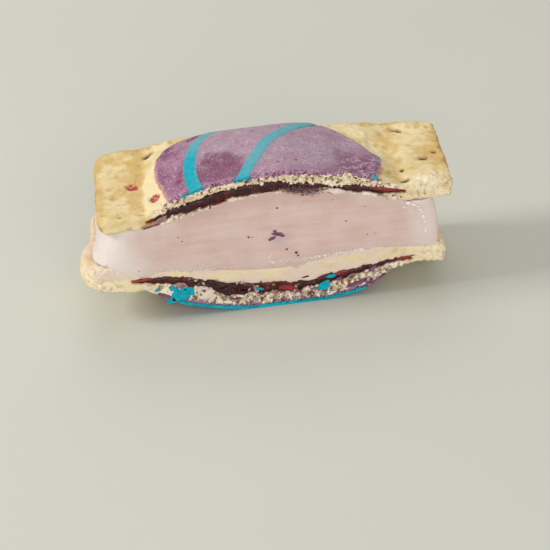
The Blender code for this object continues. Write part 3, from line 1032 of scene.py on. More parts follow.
@dataclass
class Pastry:
    """A baked pastry with a puffed middle, a sealed border and a torn cut."""

    name: str
    node: str
    slot: str
    centre_x: float
    face: Height
    under: Height
    jam: JamLine
    holes: tuple[Hole, ...]
    push: float
    outward: int
    seed: int
    front_corners: tuple[float, float] = (3.4, 1.6)
    cells_up: int = 22
    step: float = 0.26
    icing_overlap: float = 0.4

    def place(self, u: Array, v: Array, w: Array) -> Array:
        """Base shape: a slab with a quarter-round rim, round back corners and wandering edges.

        Args:
            u: grid lines along x.
            v: grid lines along y.
            w: shares of the thickness.

        Returns:
            The corners.
        """
        edge = np.minimum(PASTRY_HALF - np.abs(u), BACK_Y - v)
        x, y = rounded_back(u, v, PASTRY_HALF, BACK_Y, PASTRY_CORNER)
        side = 2 * w - 1
        swell = rim_swell(edge, PASTRY_RIM, RIM_SHARE)
        tuck = RIM_TUCK * side * side * (1 - swell) / (1 - RIM_SHARE)
        wander = EDGE_WANDER * np.abs(ripple(rows(x, y), RIPPLE_SIZE / 2, self.seed))
        drawn_in = tuck + wander * ease(1 - edge / EDGE_BAND)
        bump = bell(y, -7.5, 7.0)
        pushed = np.where(x < 0, self.push * bump * (x / PASTRY_HALF) ** 4, 0)
        x = self.centre_x + x * (1 - drawn_in / PASTRY_HALF) - pushed
        y = np.where(y > 0, y * (1 - drawn_in / BACK_Y), y)
        low, high = self.under.at(x, y), self.face.at(x, y)
        return np.stack((x, y, (high + low + side * swell * (high - low)) / 2), axis=1)

    def torn(self, x: Array) -> Array:
        """Share of torn, open crumb along the cut, none at the baked ends."""
        return ease((x + 25.5) / 3.5) * ease((29.0 - x) / 4.5)

    def open_crumb(self, points: Array) -> Array:
        """Share of open crumb at each corner of the torn cut."""
        return np.ones(len(points))

    def crumbly(self, x: Array) -> Array:
        """Share of coarse crumbling at the right end."""
        return ease((x - 27.0) / 5.0)

    def recess(self, x: Array, z: Array) -> tuple[Array, Array]:
        """How far the torn cut lies behind its plane, and how dark the painted shade in its pores
        is.

        Grains are domes round packed seats, some of them missing, on a coarser unevenness. The jam
        lies in a groove.

        Args:
            x: places along the cut.
            z: heights.

        Returns:
            The recess in millimetres, and the painted shade in the pores from 0 to 1.
        """
        where = rows(x, 0.0, z)
        near, _, tone = grains(
            where + 0.35 * cloud(where, 0.9, self.seed + 3)[..., None], 0.8, self.seed
        )
        missing = ease((tone - 0.74) / 0.06)
        coarse = cloud(where, 2.2, self.seed + 5)
        torn = self.torn(x)
        rough = 0.2 + 0.26 * coarse + 0.3 * near**2 + 0.5 * missing * (1 - near)
        lumps = 0.16 + 0.3 * self.crumbly(x) * (near**2 + 0.4 * coarse) + 0.06 * coarse
        groove = self.jam.inside(x, z, 0.2)
        recess = (
            np.clip(rough, 0.02, 1.1) * torn + np.clip(lumps, 0.02, 0.8) * (1 - torn)
            + 0.75 * groove
        )
        # Painted shade in missing grains and gaps of the torn crumb
        shaded_pore = (
            torn * np.clip(1.1 * missing * (1 - 0.6 * near) + 0.9 * ease((near - 0.62) / 0.3), 0, 1)
        )
        return recess, np.maximum(shaded_pore, 0.35 * self.crumbly(x) * ease((near - 0.6) / 0.3))

    def under_icing(self, x: Array, y: Array) -> Array:
        """Share by which (x, y) lies under the icing, where the pastry meets its inner face."""
        return between(x, self.centre_x - 22.6, self.centre_x + 21.2, 1.2) * ease((9.8 - y) / 1.5)

    def rounded(self, lines: tuple[Array, Array, Array]) -> Array:
        """The base shape with its edges at the cut and its two front corners rounded.

        Args:
            lines: the u, v and w of the corners.

        Returns:
            The corners, met by the icing where that lies on them.
        """
        x, y, z = self.place(*lines).T
        low, high = self.under.at(x, y), self.face.at(x, y)
        above = z > (low + high) / 2
        from_face = np.where(above, high - z, z - low)
        deep, under_skin = round_corner(y - CUT_Y, from_face, 1.1 - 0.85 * self.torn(x))
        z = np.where(above, high - under_skin, low + under_skin)
        left, from_cut = lines[0] < 0, lines[1] - CUT_Y
        side = np.where(left, lines[0] + PASTRY_HALF, PASTRY_HALF - lines[0])
        arc, inwards = round_corner(from_cut, side, np.where(left, *self.front_corners))
        x = x + np.where(left, 1.0, -1.0) * (inwards - side)
        y = CUT_Y + deep + arc - from_cut
        share_out = lines[2] if self.outward > 0 else 1 - lines[2]
        return rows(
            x, y, z + self.outward * self.icing_overlap * self.under_icing(x, y) * share_out
        )

    def puffed(self, x: Array, y: Array, bend: Array) -> Array:
        """Share of a puffed ridge beside the icing, which only the upper pastry shows."""
        return np.zeros_like(x)

    def sunk_holes(self, points: Array, outer: Array) -> tuple[Array, Array, Array]:
        """The docking holes: pits whose depth falls off as (1 - distance squared) to the power 1.5.

        Args:
            points: the corners.
            outer: how far each one faces outwards.

        Returns:
            How deep each corner sinks, how far it lies in a hole, and how much jam it shows.
        """
        x, y, _ = points.T
        ragged = 1 + 0.35 * cloud(points, 0.9, self.seed + 19)
        sink, hole_pit, jam_pit = np.zeros((3, len(points)))
        for hole in self.holes:
            away = ragged * hole.away(x, y)
            sunk = outer * np.clip(1 - away**2, 0, 1) ** 1.5
            sink = sink + hole.depth * sunk + 0.4 * outer * bell(away, 0.0, 1.9)
            hole_pit = np.maximum(hole_pit, ease((sunk - 0.15) / 0.5))
            jam_pit = np.maximum(jam_pit, hole.jam * ease((sunk - 0.05) / 0.2))
        return sink, hole_pit, jam_pit

    def build(self, material: bpy.types.Material) -> bpy.types.Object:
        """Makes the pastry with its relief and masks.

        The baked skin gets soft lumps, dimples, pores and holes along its normals, and the cut gets
        the torn crumb.

        Args:
            material: its finish.

        Returns:
            The piece.
        """
        u = grid_lines(-PASTRY_HALF, PASTRY_HALF, self.step, PASTRY_RIM, PASTRY_RIM)
        v = grid_lines(CUT_Y, BACK_Y, self.step, 0.9, PASTRY_RIM)
        block = Block(u, v, np.linspace(0, 1, self.cells_up + 1))
        front = block.front()
        lines = block.lines()
        points = self.rounded(lines)
        facing = normals(points, block.faces)
        x, y, _ = points.T
        torn, crumbly = self.torn(x), self.crumbly(x)
        outer = np.clip(self.outward * facing[:, 2], 0, 1)
        lumps = 0.5 * cloud(points, 4.6, self.seed + 11) + 0.2 * cloud(points, 1.5, self.seed + 13)
        dimple = pitted(points, 2.6, self.seed + 15, (0.4, 0.2), 0.38)
        shaded_pore = pitted(points, 1.2, self.seed + 17, (0.76, 0.05), 0.2)
        near, _, _ = grains(points, 1.0, self.seed + 25)
        broken = crumbly * ease((-9.0 - y) / 4.0)
        hollow = np.clip(dimple + 2.4 * np.clip(-lumps, 0, 1), 0, 1)
        bend = 1.6 * cloud(points, 4.0, self.seed + 33)
        valley = 0.8 * bell(x + bend, -26.2 + 0.08 * (y + 3), 2.0) + 0.6 * bell(x + bend, 27.4, 2.2)
        puff = self.puffed(x, y, bend)
        sink, hole_pit, jam_pit = self.sunk_holes(points, outer)
        relief = lumps - 0.3 * dimple - 0.2 * shaded_pore - 0.55 * broken * near**2
        relief = relief + outer * (0.3 * puff - 0.6 * valley) - sink
        calm = np.maximum(ease((y - CUT_Y) / 1.2), 1 - torn) * (1 - 0.7 * front * torn)
        points = points + facing * (relief * calm)[:, None]
        edge_band = ease(1 - (lines[1] - CUT_Y) / CUT_BAND)
        close = edge_band > 0
        recess, cut_pore = np.zeros((2, len(points)))
        recess[close], cut_pore[close] = self.recess(x[close], points[close, 2])
        points[:, 1] += recess * edge_band
        # Painted shade in the skin's pores and in the docking holes, none where jam fills them
        dark = 0.25 * shaded_pore + 0.95 * hole_pit * (1 - jam_pit)
        in_cut = front | (crumbly * edge_band > 0.3)
        stain, milk = self.stains(points, front * 1.0)
        masks = {
            "crumb": np.maximum(front * torn * self.open_crumb(points), 0.5 * broken),
            "shaded_pore": np.where(in_cut, np.maximum(cut_pore, dark * (1 - torn)), dark),
            "toast_and_shade": self.toast_and_shade(points, facing, hollow, puff * outer),
            "jelly": jam_pit,
            "stain": stain,
            "milk": milk,
        }
        piece = make_piece(self.name, points, block.faces, masks, material)
        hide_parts(self.node)
        return piece

    def golden_share(self, points: Array) -> Array:
        """Golden patches of bare pastry on the cut, from 0 to 1."""
        return np.zeros(len(points))

    def toast_and_shade(self, points: Array, facing: Array, hollow: Array, puff: Array) -> Array:
        """How toasted each corner is: most on rims and in hollows, least on the puffed ridge, with
        painted shade in hollows and valleys.
        """
        x, y, _ = points.T
        rim = RIM_CLEARANCE + np.minimum(PASTRY_HALF - np.abs(x - self.centre_x), BACK_Y - y)
        level = (
            0.26 + 0.26 * cloud(points, 7.0, self.seed + 23)
            + 0.2 * cloud(points, 2.4, self.seed + 25)
        )
        level += 0.16 * self.outward * (ease((-25.0 - x) / 5.0) + ease((x - 33.0) / 4.0))
        level += 0.4 * bell(rim, 0.4, 1.5) * np.clip(facing[:, 2] + 0.6, 0, 1)
        bend = 2.0 * cloud(points, 3.0, self.seed + 35)
        # Painted shade: more toasting in the valleys beside the sealed border
        level += 0.3 * bell(x + bend, -26.6, 2.0) + 0.15 * bell(x + bend, 27.4, 2.2)
        # Hollows get painted shade as more toasting, and the puffed ridge is paler
        level = level - 0.65 * puff + 0.25 * hollow - 0.2 * ease((CUT_Y + 2.5 - points[:, 1]) / 2.5)
        return level + 0.1 * self.golden_share(points)

    def stains(self, points: Array, cut: Array) -> tuple[Array, Array]:
        """Jam stain and smeared cream on each corner, which each pastry has in its own way."""
        return 0.0 * cut, 0.0 * cut


JAM_SMEAR = Oval(SMEAR_X, SMEAR_Z, 5.4, 1.5, SMEAR_TILT)
JAM_TIP = Oval(-25.6, 22.3, 4.2, 1.0, 26.0)


class UpperPastry(Pastry):
    """The pastry on top, with jam smeared along its cut and cream along its lower strip."""

    def puffed(self, x: Array, y: Array, bend: Array) -> Array:
        """Share of the puffed ridge along the left edge of the icing, fading towards the back."""
        ridge = between(x + 0.6 * bend + 1.6 * ease((5.0 - y) / 7.0), -23.4, -20.8, 1.6)
        return ridge * ease((6.0 - y) / 6.0)

    def stains(self, points: Array, cut: Array) -> tuple[Array, Array]:
        """Jam round its line, a brown smear under its middle, and cream along the lower edge.

        Args:
            points: the corners.
            cut: which corners lie on the cut.

        Returns:
            The stain and the cream, from 0 to 1.
        """
        x, _, z = points.T
        rough = cloud(points, 0.9, self.seed + 31)
        stain = 0.8 * self.jam.inside(x, z, 0.35)
        smear = JAM_SMEAR.away(x, z) + 0.35 * rough
        tip = JAM_TIP.away(x, z) + 0.4 * rough
        stain = np.maximum(stain, 0.85 * ease((1.1 - smear) / 0.5))
        stain = np.maximum(stain, 0.55 * ease((1.1 - tip) / 0.5))
        height_over = z - self.under.at(x, CUT_Y)
        milk = (
            0.8 * ease((0.75 + 0.6 * rough - height_over) / 0.5)
            * (1 - 0.8 * ease((1.0 - smear) / 0.3))
        )
        return cut * stain, cut * milk * 0.9


class LowerPastry(Pastry):
    """The pastry below, its upper strip smeared with cream and its lower strip open crumb."""

    golden: tuple[Oval, ...] = (
        Oval(-20.0, 10.3, 3.6, 0.8, 4.0), Oval(-9.5, 8.8, 5.6, 1.2, 4.0),
        Oval(-1.0, 8.0, 3.2, 1.1, 4.0),
        Oval(10.6, 8.3, 1.7, 0.8, 4.0), Oval(16.4, 9.0, 3.8, 1.1, 4.0),
        Oval(25.0, 9.3, 4.6, 1.1, 4.0),
    )

    def torn(self, x: Array) -> Array:
        """Share of torn, open crumb along the cut, none at the baked ends."""
        return ease((x + 29.5) / 5.0) * ease((30.5 - x) / 5.0)

    def crumbly(self, x: Array) -> Array:
        """Share of coarse crumbling at both ends."""
        return np.maximum(super().crumbly(x), ease((-30.0 - x) / 4.0))

    def open_crumb(self, points: Array) -> Array:
        """Open crumb below the jam only, since the strip above it is smeared smooth."""
        return 1 - 0.9 * ease((points[:, 2] - through(self.jam.centre, points[:, 0]) - 0.5) / 0.6)

    def golden_share(self, points: Array) -> Array:
        """Golden patches of bare pastry above the jam, ragged ovals along the cut."""
        x, y, z = points.T
        rough = cloud(points, 1.1, self.seed + 37)
        bare = np.zeros_like(x)
        for patch in self.golden:
            bare = np.maximum(bare, ease((1.3 - (patch.away(x, z) + 0.6 * rough)) / 0.7))
        return bare * (y < CUT_Y + 1.5)

    def recess(self, x: Array, z: Array) -> tuple[Array, Array]:
        """The torn cut, smoothed where cream is smeared over it above the jam."""
        recess, shaded_pore = super().recess(x, z)
        smooth = ease((z - through(self.jam.centre, x) - 0.6) / 0.6)
        return recess * (1 - 0.6 * smooth) + 0.05 * smooth, shaded_pore * (1 - 0.95 * smooth)

    def stains(self, points: Array, cut: Array) -> tuple[Array, Array]:
        """Jam round its line, and cream above it with golden patches of pastry left bare.

        Args:
            points: the corners.
            cut: which corners lie on the cut.

        Returns:
            The stain and the cream, from 0 to 1.
        """
        x, y, z = points.T
        rough = cloud(points, 1.1, self.seed + 31)
        stain = cut * 0.85 * self.jam.inside(x, z, 0.3)
        above = ease((z - through(self.jam.centre, x) - 0.5 + 0.3 * rough) / 0.7)
        bare = self.golden_share(points)
        milk = cut * above * (0.95 - 0.7 * bare) * ease((33.0 - x) / 8.0)
        ragged = rough + cloud(points, 3.0, self.seed + 39)
        left_spill = (
            ease((-27.0 - x) / 3.0) * ease((z - 9.8 + 2.6 * ragged) / 4.4)
            * ease((-2.0 - y + 4 * rough) / 5.0)
        )
        end = (
            ease((-36.5 - x) / 2.0) * ease((z - 10.6 + 1.5 * ragged) / 2.5)
            * ease((y + 9.0 + rough) / 4.0)
        )
        return stain, np.maximum(milk, np.maximum(0.6 * left_spill, 0.75 * end))


@dataclass
class Jam:
    """A layer of jam in a pastry, ragged and lumpy where it shows in the cut."""

    name: str
    node: str
    line: JamLine
    face: Height
    under: Height
    back: float = 9.5
    corner: float = 6.0
    behind: float = 0.42

    def build(self, material: bpy.types.Material) -> bpy.types.Object:
        """Makes the layer: a thin slab that follows the pastry, with the ragged line at its front.

        Args:
            material: its finish.

        Returns:
            The piece.
        """
        left, right = self.line.centre[0][0], self.line.centre[-1][0]
        middle, half_width = (left + right) / 2, (right - left) / 2
        front_y = CUT_Y + self.behind
        u = grid_lines(-half_width, half_width, 0.2, 0.8, 0.8)
        v = grid_lines(front_y, self.back, 0.8, 0.6, 0.8)
        block = Block(u, v, np.linspace(0, 1, 9))
        u, v, w = block.lines()
        x, y = rounded_back(u, v, half_width, self.back, self.corner)
        x = x + middle
        low, high = self.under.at(x, CUT_Y), self.face.at(x, CUT_Y)
        share = (through(self.line.centre, x) - low) / (high - low)
        low, high = self.under.at(x, y), self.face.at(x, y)
        level = low + share * (high - low)
        bottom, top = self.line.limits(x)
        middle_z = through(self.line.centre, x)
        near = ease(1 - (y - front_y) / 2.5)
        smooth_half = through(self.line.half, x)
        lower = -smooth_half * (1 - near) + (bottom - middle_z) * near
        upper = smooth_half * (1 - near) + (top - middle_z) * near
        z = level + lower + (upper - lower) * w
        where = rows(x, y, z)
        bumps = 0.2 * cloud(where, 1.0, self.line.seed + 50) + 0.18 * (2 * w - 1) ** 2
        y = y + np.where(block.front(), bumps, 0)
        red = 0.75 * ease((cloud(where, 2.2, self.line.seed + 60) - 0.25) / 0.3)
        ends = 0.8 * (1 - between(x, left + 2.5, right - 2.5, 1.5))
        piece = make_piece(
            self.name, rows(x, y, z), block.faces, {"red": np.maximum(red, ends)}, material,
        )
        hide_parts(self.node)
        return piece


SCRATCH = Oval(26.1, 15.4, 3.4, 0.14, 68.0)
BERRY_ASH = Oval(1.0, 15.2, 2.8, 1.8)
CREAM_STAIN = Oval(SMEAR_X, SMEAR_Z - 0.4, 5.0, 1.2, SMEAR_TILT)
WET_EDGE = Oval(31.3, 18.0, 4.5, 1.4, 100.0)
LEFT_SHADE = Oval(-24.0, 15.5, 5.5, 3.5)


@dataclass
class IceCream:
    """The slab of ice cream: a knife-cut front, bulging sides, and a belly and toe at its left."""

    left: float = -33.6
    right: float = 34.2
    back: float = 13.5
    corner: float = 5.0
    foot_left: float = 1.6
    foot_right: float = 0.9
    bulge: float = 0.7
    belly: float = 2.4
    toe: float = 0.9
    front_corners: tuple[float, float] = (3.2, 2.2)
    levels: int = 65
    seed: int = 301

    def place(self, u: Array, v: Array, w: Array) -> Array:
        """Base shape: a slab whose sides swell as a half sine and spread at the foot.

        Args:
            u: grid lines along x, from the slab's middle.
            v: grid lines along y.
            w: shares of the height.

        Returns:
            The corners.
        """
        half = (self.right - self.left) / 2
        edge = np.minimum(half - np.abs(u), self.back - v)
        x, y = rounded_back(u, v, half, self.back, self.corner)
        foot = np.where(x < 0, self.foot_left, self.foot_right)
        swell = self.bulge * np.sin(math.pi * w) + foot * (1 - w) ** 2
        swell = swell + np.where(x < 0, self.belly * (1 - 0.45 * w) * ease((y - CUT_Y) / 6.0), 0)
        run_out = self.toe * ease((1.0 - y) / 7.0) * (1 - w) ** 2.4
        swell = swell + np.where(x < 0, run_out, 0)
        near_side = ease(1 - edge / EDGE_BAND)
        x = (self.left + self.right) / 2 + x * (1 + swell * near_side / half)
        y = np.where(y > 0, y * (1 + self.bulge * np.sin(math.pi * w) * near_side / self.back), y)
        low, high = LOWER_FACE.at(x, y), UPPER_UNDER.at(x, y)
        return np.stack((x, y, low + w * (high - low)), axis=1)

    def skirts(self, x: Array) -> tuple[Array, Array]:
        """How far the cream is dragged down and up over the cuts of the two pastries."""
        where = rows(x, 0.0)
        down = (
            0.6 + 0.8 * cloud(where, 5.0, self.seed + 1, 4) + 0.8 * bell(x, -30, 5)
            + 0.5 * bell(x, 6, 5)
        )
        up = (
            0.6 + 0.6 * cloud(where, 3.0, self.seed + 7, 4) - 0.3 * bell(x, 6.5, 4.5)
            - 0.5 * bell(x, 29, 3.5)
        )
        return np.clip(down, 0.0, 1.7), np.clip(up, 0.05, 1.1)

    def build(self, material: bpy.types.Material) -> bpy.types.Object:
        """Makes the slab with knife streaks, soft dents, a frosty ridge and its masks.

        The front lies behind the cut by streaks of noise drawn out along x. Its left and right
        edges are quarter circles, and its upper and lower ones are dragged over the pastries.

        Args:
            material: its finish.

        Returns:
            The piece.
        """
        half = (self.right - self.left) / 2
        u = grid_lines(-half, half, 0.3, 2.4, 2.4)
        v = grid_lines(CUT_Y, self.back, 0.4, 0.8, 1.0)
        block = Block(u, v, np.linspace(0, 1, self.levels))
        lines = block.lines()
        points = self.place(*lines)
        facing = normals(points, block.faces)
        front = block.front()
        x, _, z = points.T
        w = lines[2]
        down, up = self.skirts(x)
        edge_y = ease(1 - (lines[1] - CUT_Y) / 0.8)
        z = z - down * edge_y * ease(1 - w / 0.12) + up * edge_y * ease((w - 0.9) / 0.1)
        points[:, 2] = z
        sway = z + 0.003 * (x - 3) ** 2
        drawn = rows(x / 10.0, 0.0, sway + 0.3 * cloud(points, 6.0, self.seed + 35))
        streaks = (
            0.05 * cloud(drawn, 0.9, self.seed + 11) + 0.08 * cloud(drawn, 2.6, self.seed + 13)
        )
        soft = 0.12 * cloud(points, 7.0, self.seed + 15)
        ridge_line = through(RIDGE_LINE, x)
        ridge = between(x, -1.0, 20.0, 3.0) * bell(z, ridge_line, 0.28)
        ridge = ridge * (0.5 + 0.5 * cloud(points, 0.7, self.seed + 17))
        scratch = SCRATCH.glow(x, z)
        inset = np.clip(
            0.2 + soft + streaks - 0.16 * ridge + 0.05 * scratch + 0.2 * (2 * w - 1) ** 20, 0, 1
        )
        side = np.minimum(lines[0] + half, half - lines[0])
        from_cut = lines[1] - CUT_Y
        radius = np.where(lines[0] < 0, *self.front_corners)
        arc, inwards = round_corner(from_cut, side, radius)
        points[:, 0] += np.where(lines[0] < 0, 1.0, -1.0) * (inwards - side)
        points[:, 1] += arc - from_cut + inset * ease(1 - from_cut / 2.0)
        rest = ~front
        lumps = (
            0.22 * cloud(points, 3.4, self.seed + 21) + 0.07 * cloud(points, 1.0, self.seed + 23)
        )
        fade = np.where(rest, ease((lines[1] - CUT_Y) / 1.2), 0) * (1 - np.abs(facing[:, 2]))
        points += facing * (lumps * fade)[:, None]
        piece = make_piece(
            "cream_slab", points, block.faces, self.masks(points, front, ridge), material,
        )
        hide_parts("ice_cream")
        return piece

    def masks(self, points: Array, front: Array, ridge: Array) -> dict[str, Array]:
        """Melted milk with painted light on the left side, wet spots, painted shade, a grey ashy
        patch and jam stains on each corner.

        Args:
            points: the corners.
            front: which corners lie on the cut.
            ridge: the frosty ridge.

        Returns:
            The masks by name.
        """
        x, y, z = points.T
        rough = cloud(points, 1.6, self.seed + 31)
        # The left side is painted off-white: partly melted milk, partly painted light from the lamp
        # on the left
        side = ease((-24.5 - x + 1.5 * rough - 0.25 * (z - 15)) / 8.0)
        foot = ease((1.0 - (z - LOWER_FACE.at(x, y))) / 1.6) * ease((-22.0 - x) / 8.0)
        milk = np.maximum(side, 0.7 * foot)
        milk = np.maximum(milk, 0.3 * ease((-16.0 - x) / 14.0) * (0.7 + 0.8 * rough))
        milk = np.maximum(milk, 0.8 * ease((ridge - 0.35) / 0.4))
        milk = np.maximum(milk, 0.6 * ease((x - 27.5 + rough) / 4.0))
        ash = 0.4 * ease((1.2 - BERRY_ASH.away(x, z) - 0.7 * rough) / 1.1)
        smear = CREAM_STAIN.away(x, z) + 0.4 * rough
        stain = 0.8 * ease((1.15 - smear) / 0.9)
        wet = 0.9 * ease((1.2 - WET_EDGE.away(x, z)) / 0.6)
        wet = np.maximum(wet, 0.8 * side)
        on_cut = front * 1.0
        under_face = UPPER_UNDER.at(x, y)
        shade = 0.75 * ease((z - under_face + 4.0 + rough) / 4.0) * between(x, -16.0, 14.0, 6.0)
        shade = np.maximum(shade, 0.5 * LEFT_SHADE.glow(x, z))
        return {
            "milk": milk, "shade": shade * on_cut, "ash": ash * on_cut, "stain": stain * on_cut,
            "wet": wet
        }


@dataclass(frozen=True)
class Lobe:
    """A place where the icing's edge at the cut droops or juts: its x, its width and how far."""

    x: float
    width: float
    droop: float


LIP = Oval(10.0, 8.0, 9.0, 4.5, -12.0)
DARK_PATCH = Oval(-9.4, -11.0, 4.3, 6.6)
FROST_STREAKS = (Oval(14.0, -1.6, 7.5, 1.5, 28.0), Oval(-6.0, 7.2, 5.0, 1.8, -12.0))
FOLDS = (
    (Oval(10.8, 7.4, 2.6, 0.3, 36.0), 1.0), (Oval(-14.4, 8.6, 1.6, 0.35, 30.0), 1.0),
    (Oval(-5.0, 9.4, 3.4, 0.25, 2.0), 0.6),
)


@dataclass
class Icing:
    """A thin sheet of icing on a pastry, with a ragged rim and a broken edge at the cut."""

    name: str
    node: str
    centre_x: float
    carrier: Height
    outward: int
    lobes: tuple[Lobe, ...]
    seed: int
    left: Stations = ((-14.75, 21.8), (-6.0, 23.0), (2.0, 22.8), (7.0, 19.5), (11.0, 13.0))
    right: Stations = ((-14.75, 22.6), (-6.0, 23.4), (2.0, 22.4), (7.0, 18.5), (11.0, 12.0))
    half_width: float = 23.5
    back: float = 11.0
    rim: float = 1.2
    lowest: float = 0.0
    lip: float = 0.0
    droop: float = 0.0
    cell: float = 0.22
    sunk: float = 0.3

    def relief(self, x: Array, y: Array) -> Array:
        """Unevenness of the icing's skin at (x, y): swells, orange peel, and folds at its edges."""
        where = rows(x, y, 3.0)
        swells = 0.3 * cloud(where, 7.0, self.seed + 1) + 0.06 * cloud(where, 1.3, self.seed + 3)
        edge = np.minimum(self.half_width - np.abs(x - self.centre_x), self.back - y)
        folds = ease(1 - edge / 5.0) * 0.3 * cloud(where, 2.4, self.seed + 5)
        return swells + folds

    def skin(self, x: Array, y: Array) -> Array:
        """Height of the icing's outer face at (x, y), pressed flat where the slice rests on it."""
        lip = self.lip * LIP.glow(x, y)
        level = self.carrier.at(x, y) + self.outward * (ICING_THICK + lip + 0.6 * self.relief(x, y))
        return np.maximum(level, self.lowest)

    def outline(self, x: Array, y: Array, edge: Array) -> tuple[Array, Array]:
        """Moves points near the rim in or out by noise, most in broad bays."""
        where = rows(x, y, 8.0)
        shift = 0.6 * cloud(where, 4.2, self.seed + 7) + 0.35 * cloud(where, 1.1, self.seed + 9)
        shift = shift * ease(1 - edge / 3.5)
        away_x = (x - self.centre_x) / self.half_width
        away_y = np.clip(y / self.back, 0, None)
        reach = np.maximum(np.hypot(away_x, away_y), 0.3)
        return x + shift * away_x / reach, np.where(y > CUT_Y + 0.1, y + shift * away_y / reach, y)

    def build(self, material: bpy.types.Material) -> bpy.types.Object:
        """Makes the sheet: thinner round its rim as a quarter round, drooping in lobes at the cut.

        Args:
            material: its finish.

        Returns:
            The piece.
        """
        u = grid_lines(-self.half_width, self.half_width, self.cell, self.rim, self.rim)
        v = grid_lines(CUT_Y, self.back, self.cell, 0.7, self.rim)
        block = Block(u, v, np.linspace(0, 1, 6))
        u, v, w = block.lines()
        share = w if self.outward > 0 else 1 - w
        edge = np.minimum(self.half_width - np.abs(u), self.back - v)
        reach = np.where(u < 0, through(self.left, v), through(self.right, v))
        x, y = self.outline(self.centre_x + u * reach / self.half_width, v, edge)
        swell = rim_swell(edge, self.rim, 0.12)
        base = self.carrier.at(x, y) + self.outward * self.sunk
        top = self.skin(x, y)
        edge_arc, skin_arc = round_corner(v - CUT_Y, (1 - share) * np.abs(top - base) * swell, 0.5)
        z = base + (top - base) * swell - self.outward * skin_arc
        z = np.where(share == 0, base, z)
        where = rows(x, y, z)
        near_cut = ease(1 - (v - CUT_Y) / 1.2)
        droop = self.droop + 0.3 * cloud(rows(x, 0.0), 1.6, self.seed + 13)
        for lobe in self.lobes:
            droop = droop + lobe.droop * bell(x, lobe.x, lobe.width)
        z = z - self.outward * near_cut * (1 - share) * np.clip(droop, -0.4, 2.4)
        front = block.front()
        near, _, tone = grains(where, 0.7, self.seed + 15)
        bubbles = 0.22 * near**2 + 0.3 * ease((tone - 0.78) / 0.05) * (1 - near)
        edge_wave = 0.2 + 0.2 * cloud(rows(x, 0.0), 1.1, self.seed + 29)
        back = edge_arc - (v - CUT_Y) + edge_wave + np.where(front, np.clip(bubbles, 0, 0.5), 0)
        y = y + back * ease(1 - (v - CUT_Y) / CUT_BAND)
        pit = pitted(where, 2.4, self.seed + 17, (0.8, 0.05), 0.16)
        crack = self.crevices(x, y)
        z = z - self.outward * share * (0.25 * pit + 0.6 * crack)
        z = np.maximum(z, self.lowest)
        masks = self.masks(x, y, edge, front * 1.0)
        # Painted shade in the pits and crevices
        masks["shaded_pore"] = np.maximum(0.8 * pit * share, 0.9 * crack)
        piece = make_piece(self.name, rows(x, y, z), block.faces, masks, material)
        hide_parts(self.node)
        return piece

    def crevices(self, x: Array, y: Array) -> Array:
        """Folds near the back edge of the sheet, sunk in and darkened with painted shade."""
        wavy = y + 0.5 * cloud(rows(x, y, 2.0), 1.6, self.seed + 19)
        return np.max([deep * fold.glow(x, wavy) for fold, deep in FOLDS], axis=0)

    def frost_and_sheen(self, x: Array, y: Array) -> Array:
        """Frost and painted sheen on the sheet: strongest over the middle, broken by the darker
        mottles.
        """
        where = rows(x, y, 5.0)
        # The broad whitish middle is painted sheen as well as frost
        middle = ease((1.35 - Oval(self.centre_x + 2.5, 1.0, 21.0, 15.0).away(x, y)) / 0.7)
        dark = self.dark_patch(x, y)
        mottle = 0.45 * cloud(where, 4.0, self.seed + 21) + 0.3 * cloud(where, 1.3, self.seed + 22)
        edge = ease(1 - (y - CUT_Y) / 3.0)
        streak = np.minimum(*(band.away(x, y) for band in FROST_STREAKS))
        streak = 0.5 * ease((1.5 - streak + 1.6 * mottle) / 1.1)
        return np.clip(
            (0.8 * middle + mottle + streak) * (1 - 0.95 * dark) * (1 - 0.8 * edge), 0, 1
        )

    def dark_patch(self, x: Array, y: Array) -> Array:
        """Share of the deep purple patch between the stripes, soft and ragged."""
        ragged = 0.45 * cloud(rows(x, y, 7.0), 2.4, self.seed + 31)
        return ease((1.5 - DARK_PATCH.away(x, y) + ragged) / 0.8)

    def masks(self, x: Array, y: Array, edge: Array, cut: Array) -> dict[str, Array]:
        """Frost with painted sheen, deep purple, tan rim and torn sugar on each corner.

        Args:
            x: the corners' x.
            y: the corners' y.
            edge: distance from the rim.
            cut: which corners lie on the cut.

        Returns:
            The masks by name.
        """
        where = rows(x, y, 5.0)
        frost_and_sheen = self.frost_and_sheen(x, y)
        right = ease((x - 12.0) / 6.0) * ease((-1.0 - y) / 5.0)
        fringe = ease(1 - (y - CUT_Y - 0.8 * cloud(where, 1.6, self.seed + 37)) / 2.6)
        torn = np.maximum(0.6 * cut, 0.5 * fringe)
        torn = np.maximum(
            torn, 0.75 * right * ease((cloud(where, 1.1, self.seed + 27) + 0.2) / 0.5)
        )
        rim = 0.75 * ease((0.7 - edge + 0.5 * cloud(where, 1.2, self.seed + 23)) / 0.7)
        patch = self.dark_patch(x, y)
        deep = (
            0.4 + 0.4 * cloud(where, 4.0, self.seed + 25) + 0.3 * cloud(where, 1.4, self.seed + 26)
        )
        deep = deep + 1.0 * right + 0.9 * patch + 0.6 * fringe - 0.25 * frost_and_sheen
        return {
            "frost_and_sheen": frost_and_sheen * (1 - 0.8 * right) * (1 - 0.7 * cut), "deep": deep + 0.3 * cut,
            "torn": torn, "rim": rim * (y > CUT_Y + 0.8)
        }


@dataclass(frozen=True)
class Stripe:
    """One stripe of drizzle: three places on its middle line, its width, sink and where its frost
    and painted sheen start.
    """

    start: tuple[float, float]
    middle: tuple[float, float]
    end: tuple[float, float]
    width: float = 2.75
    sink: float = 0.45
    clear_to: float = -12.0


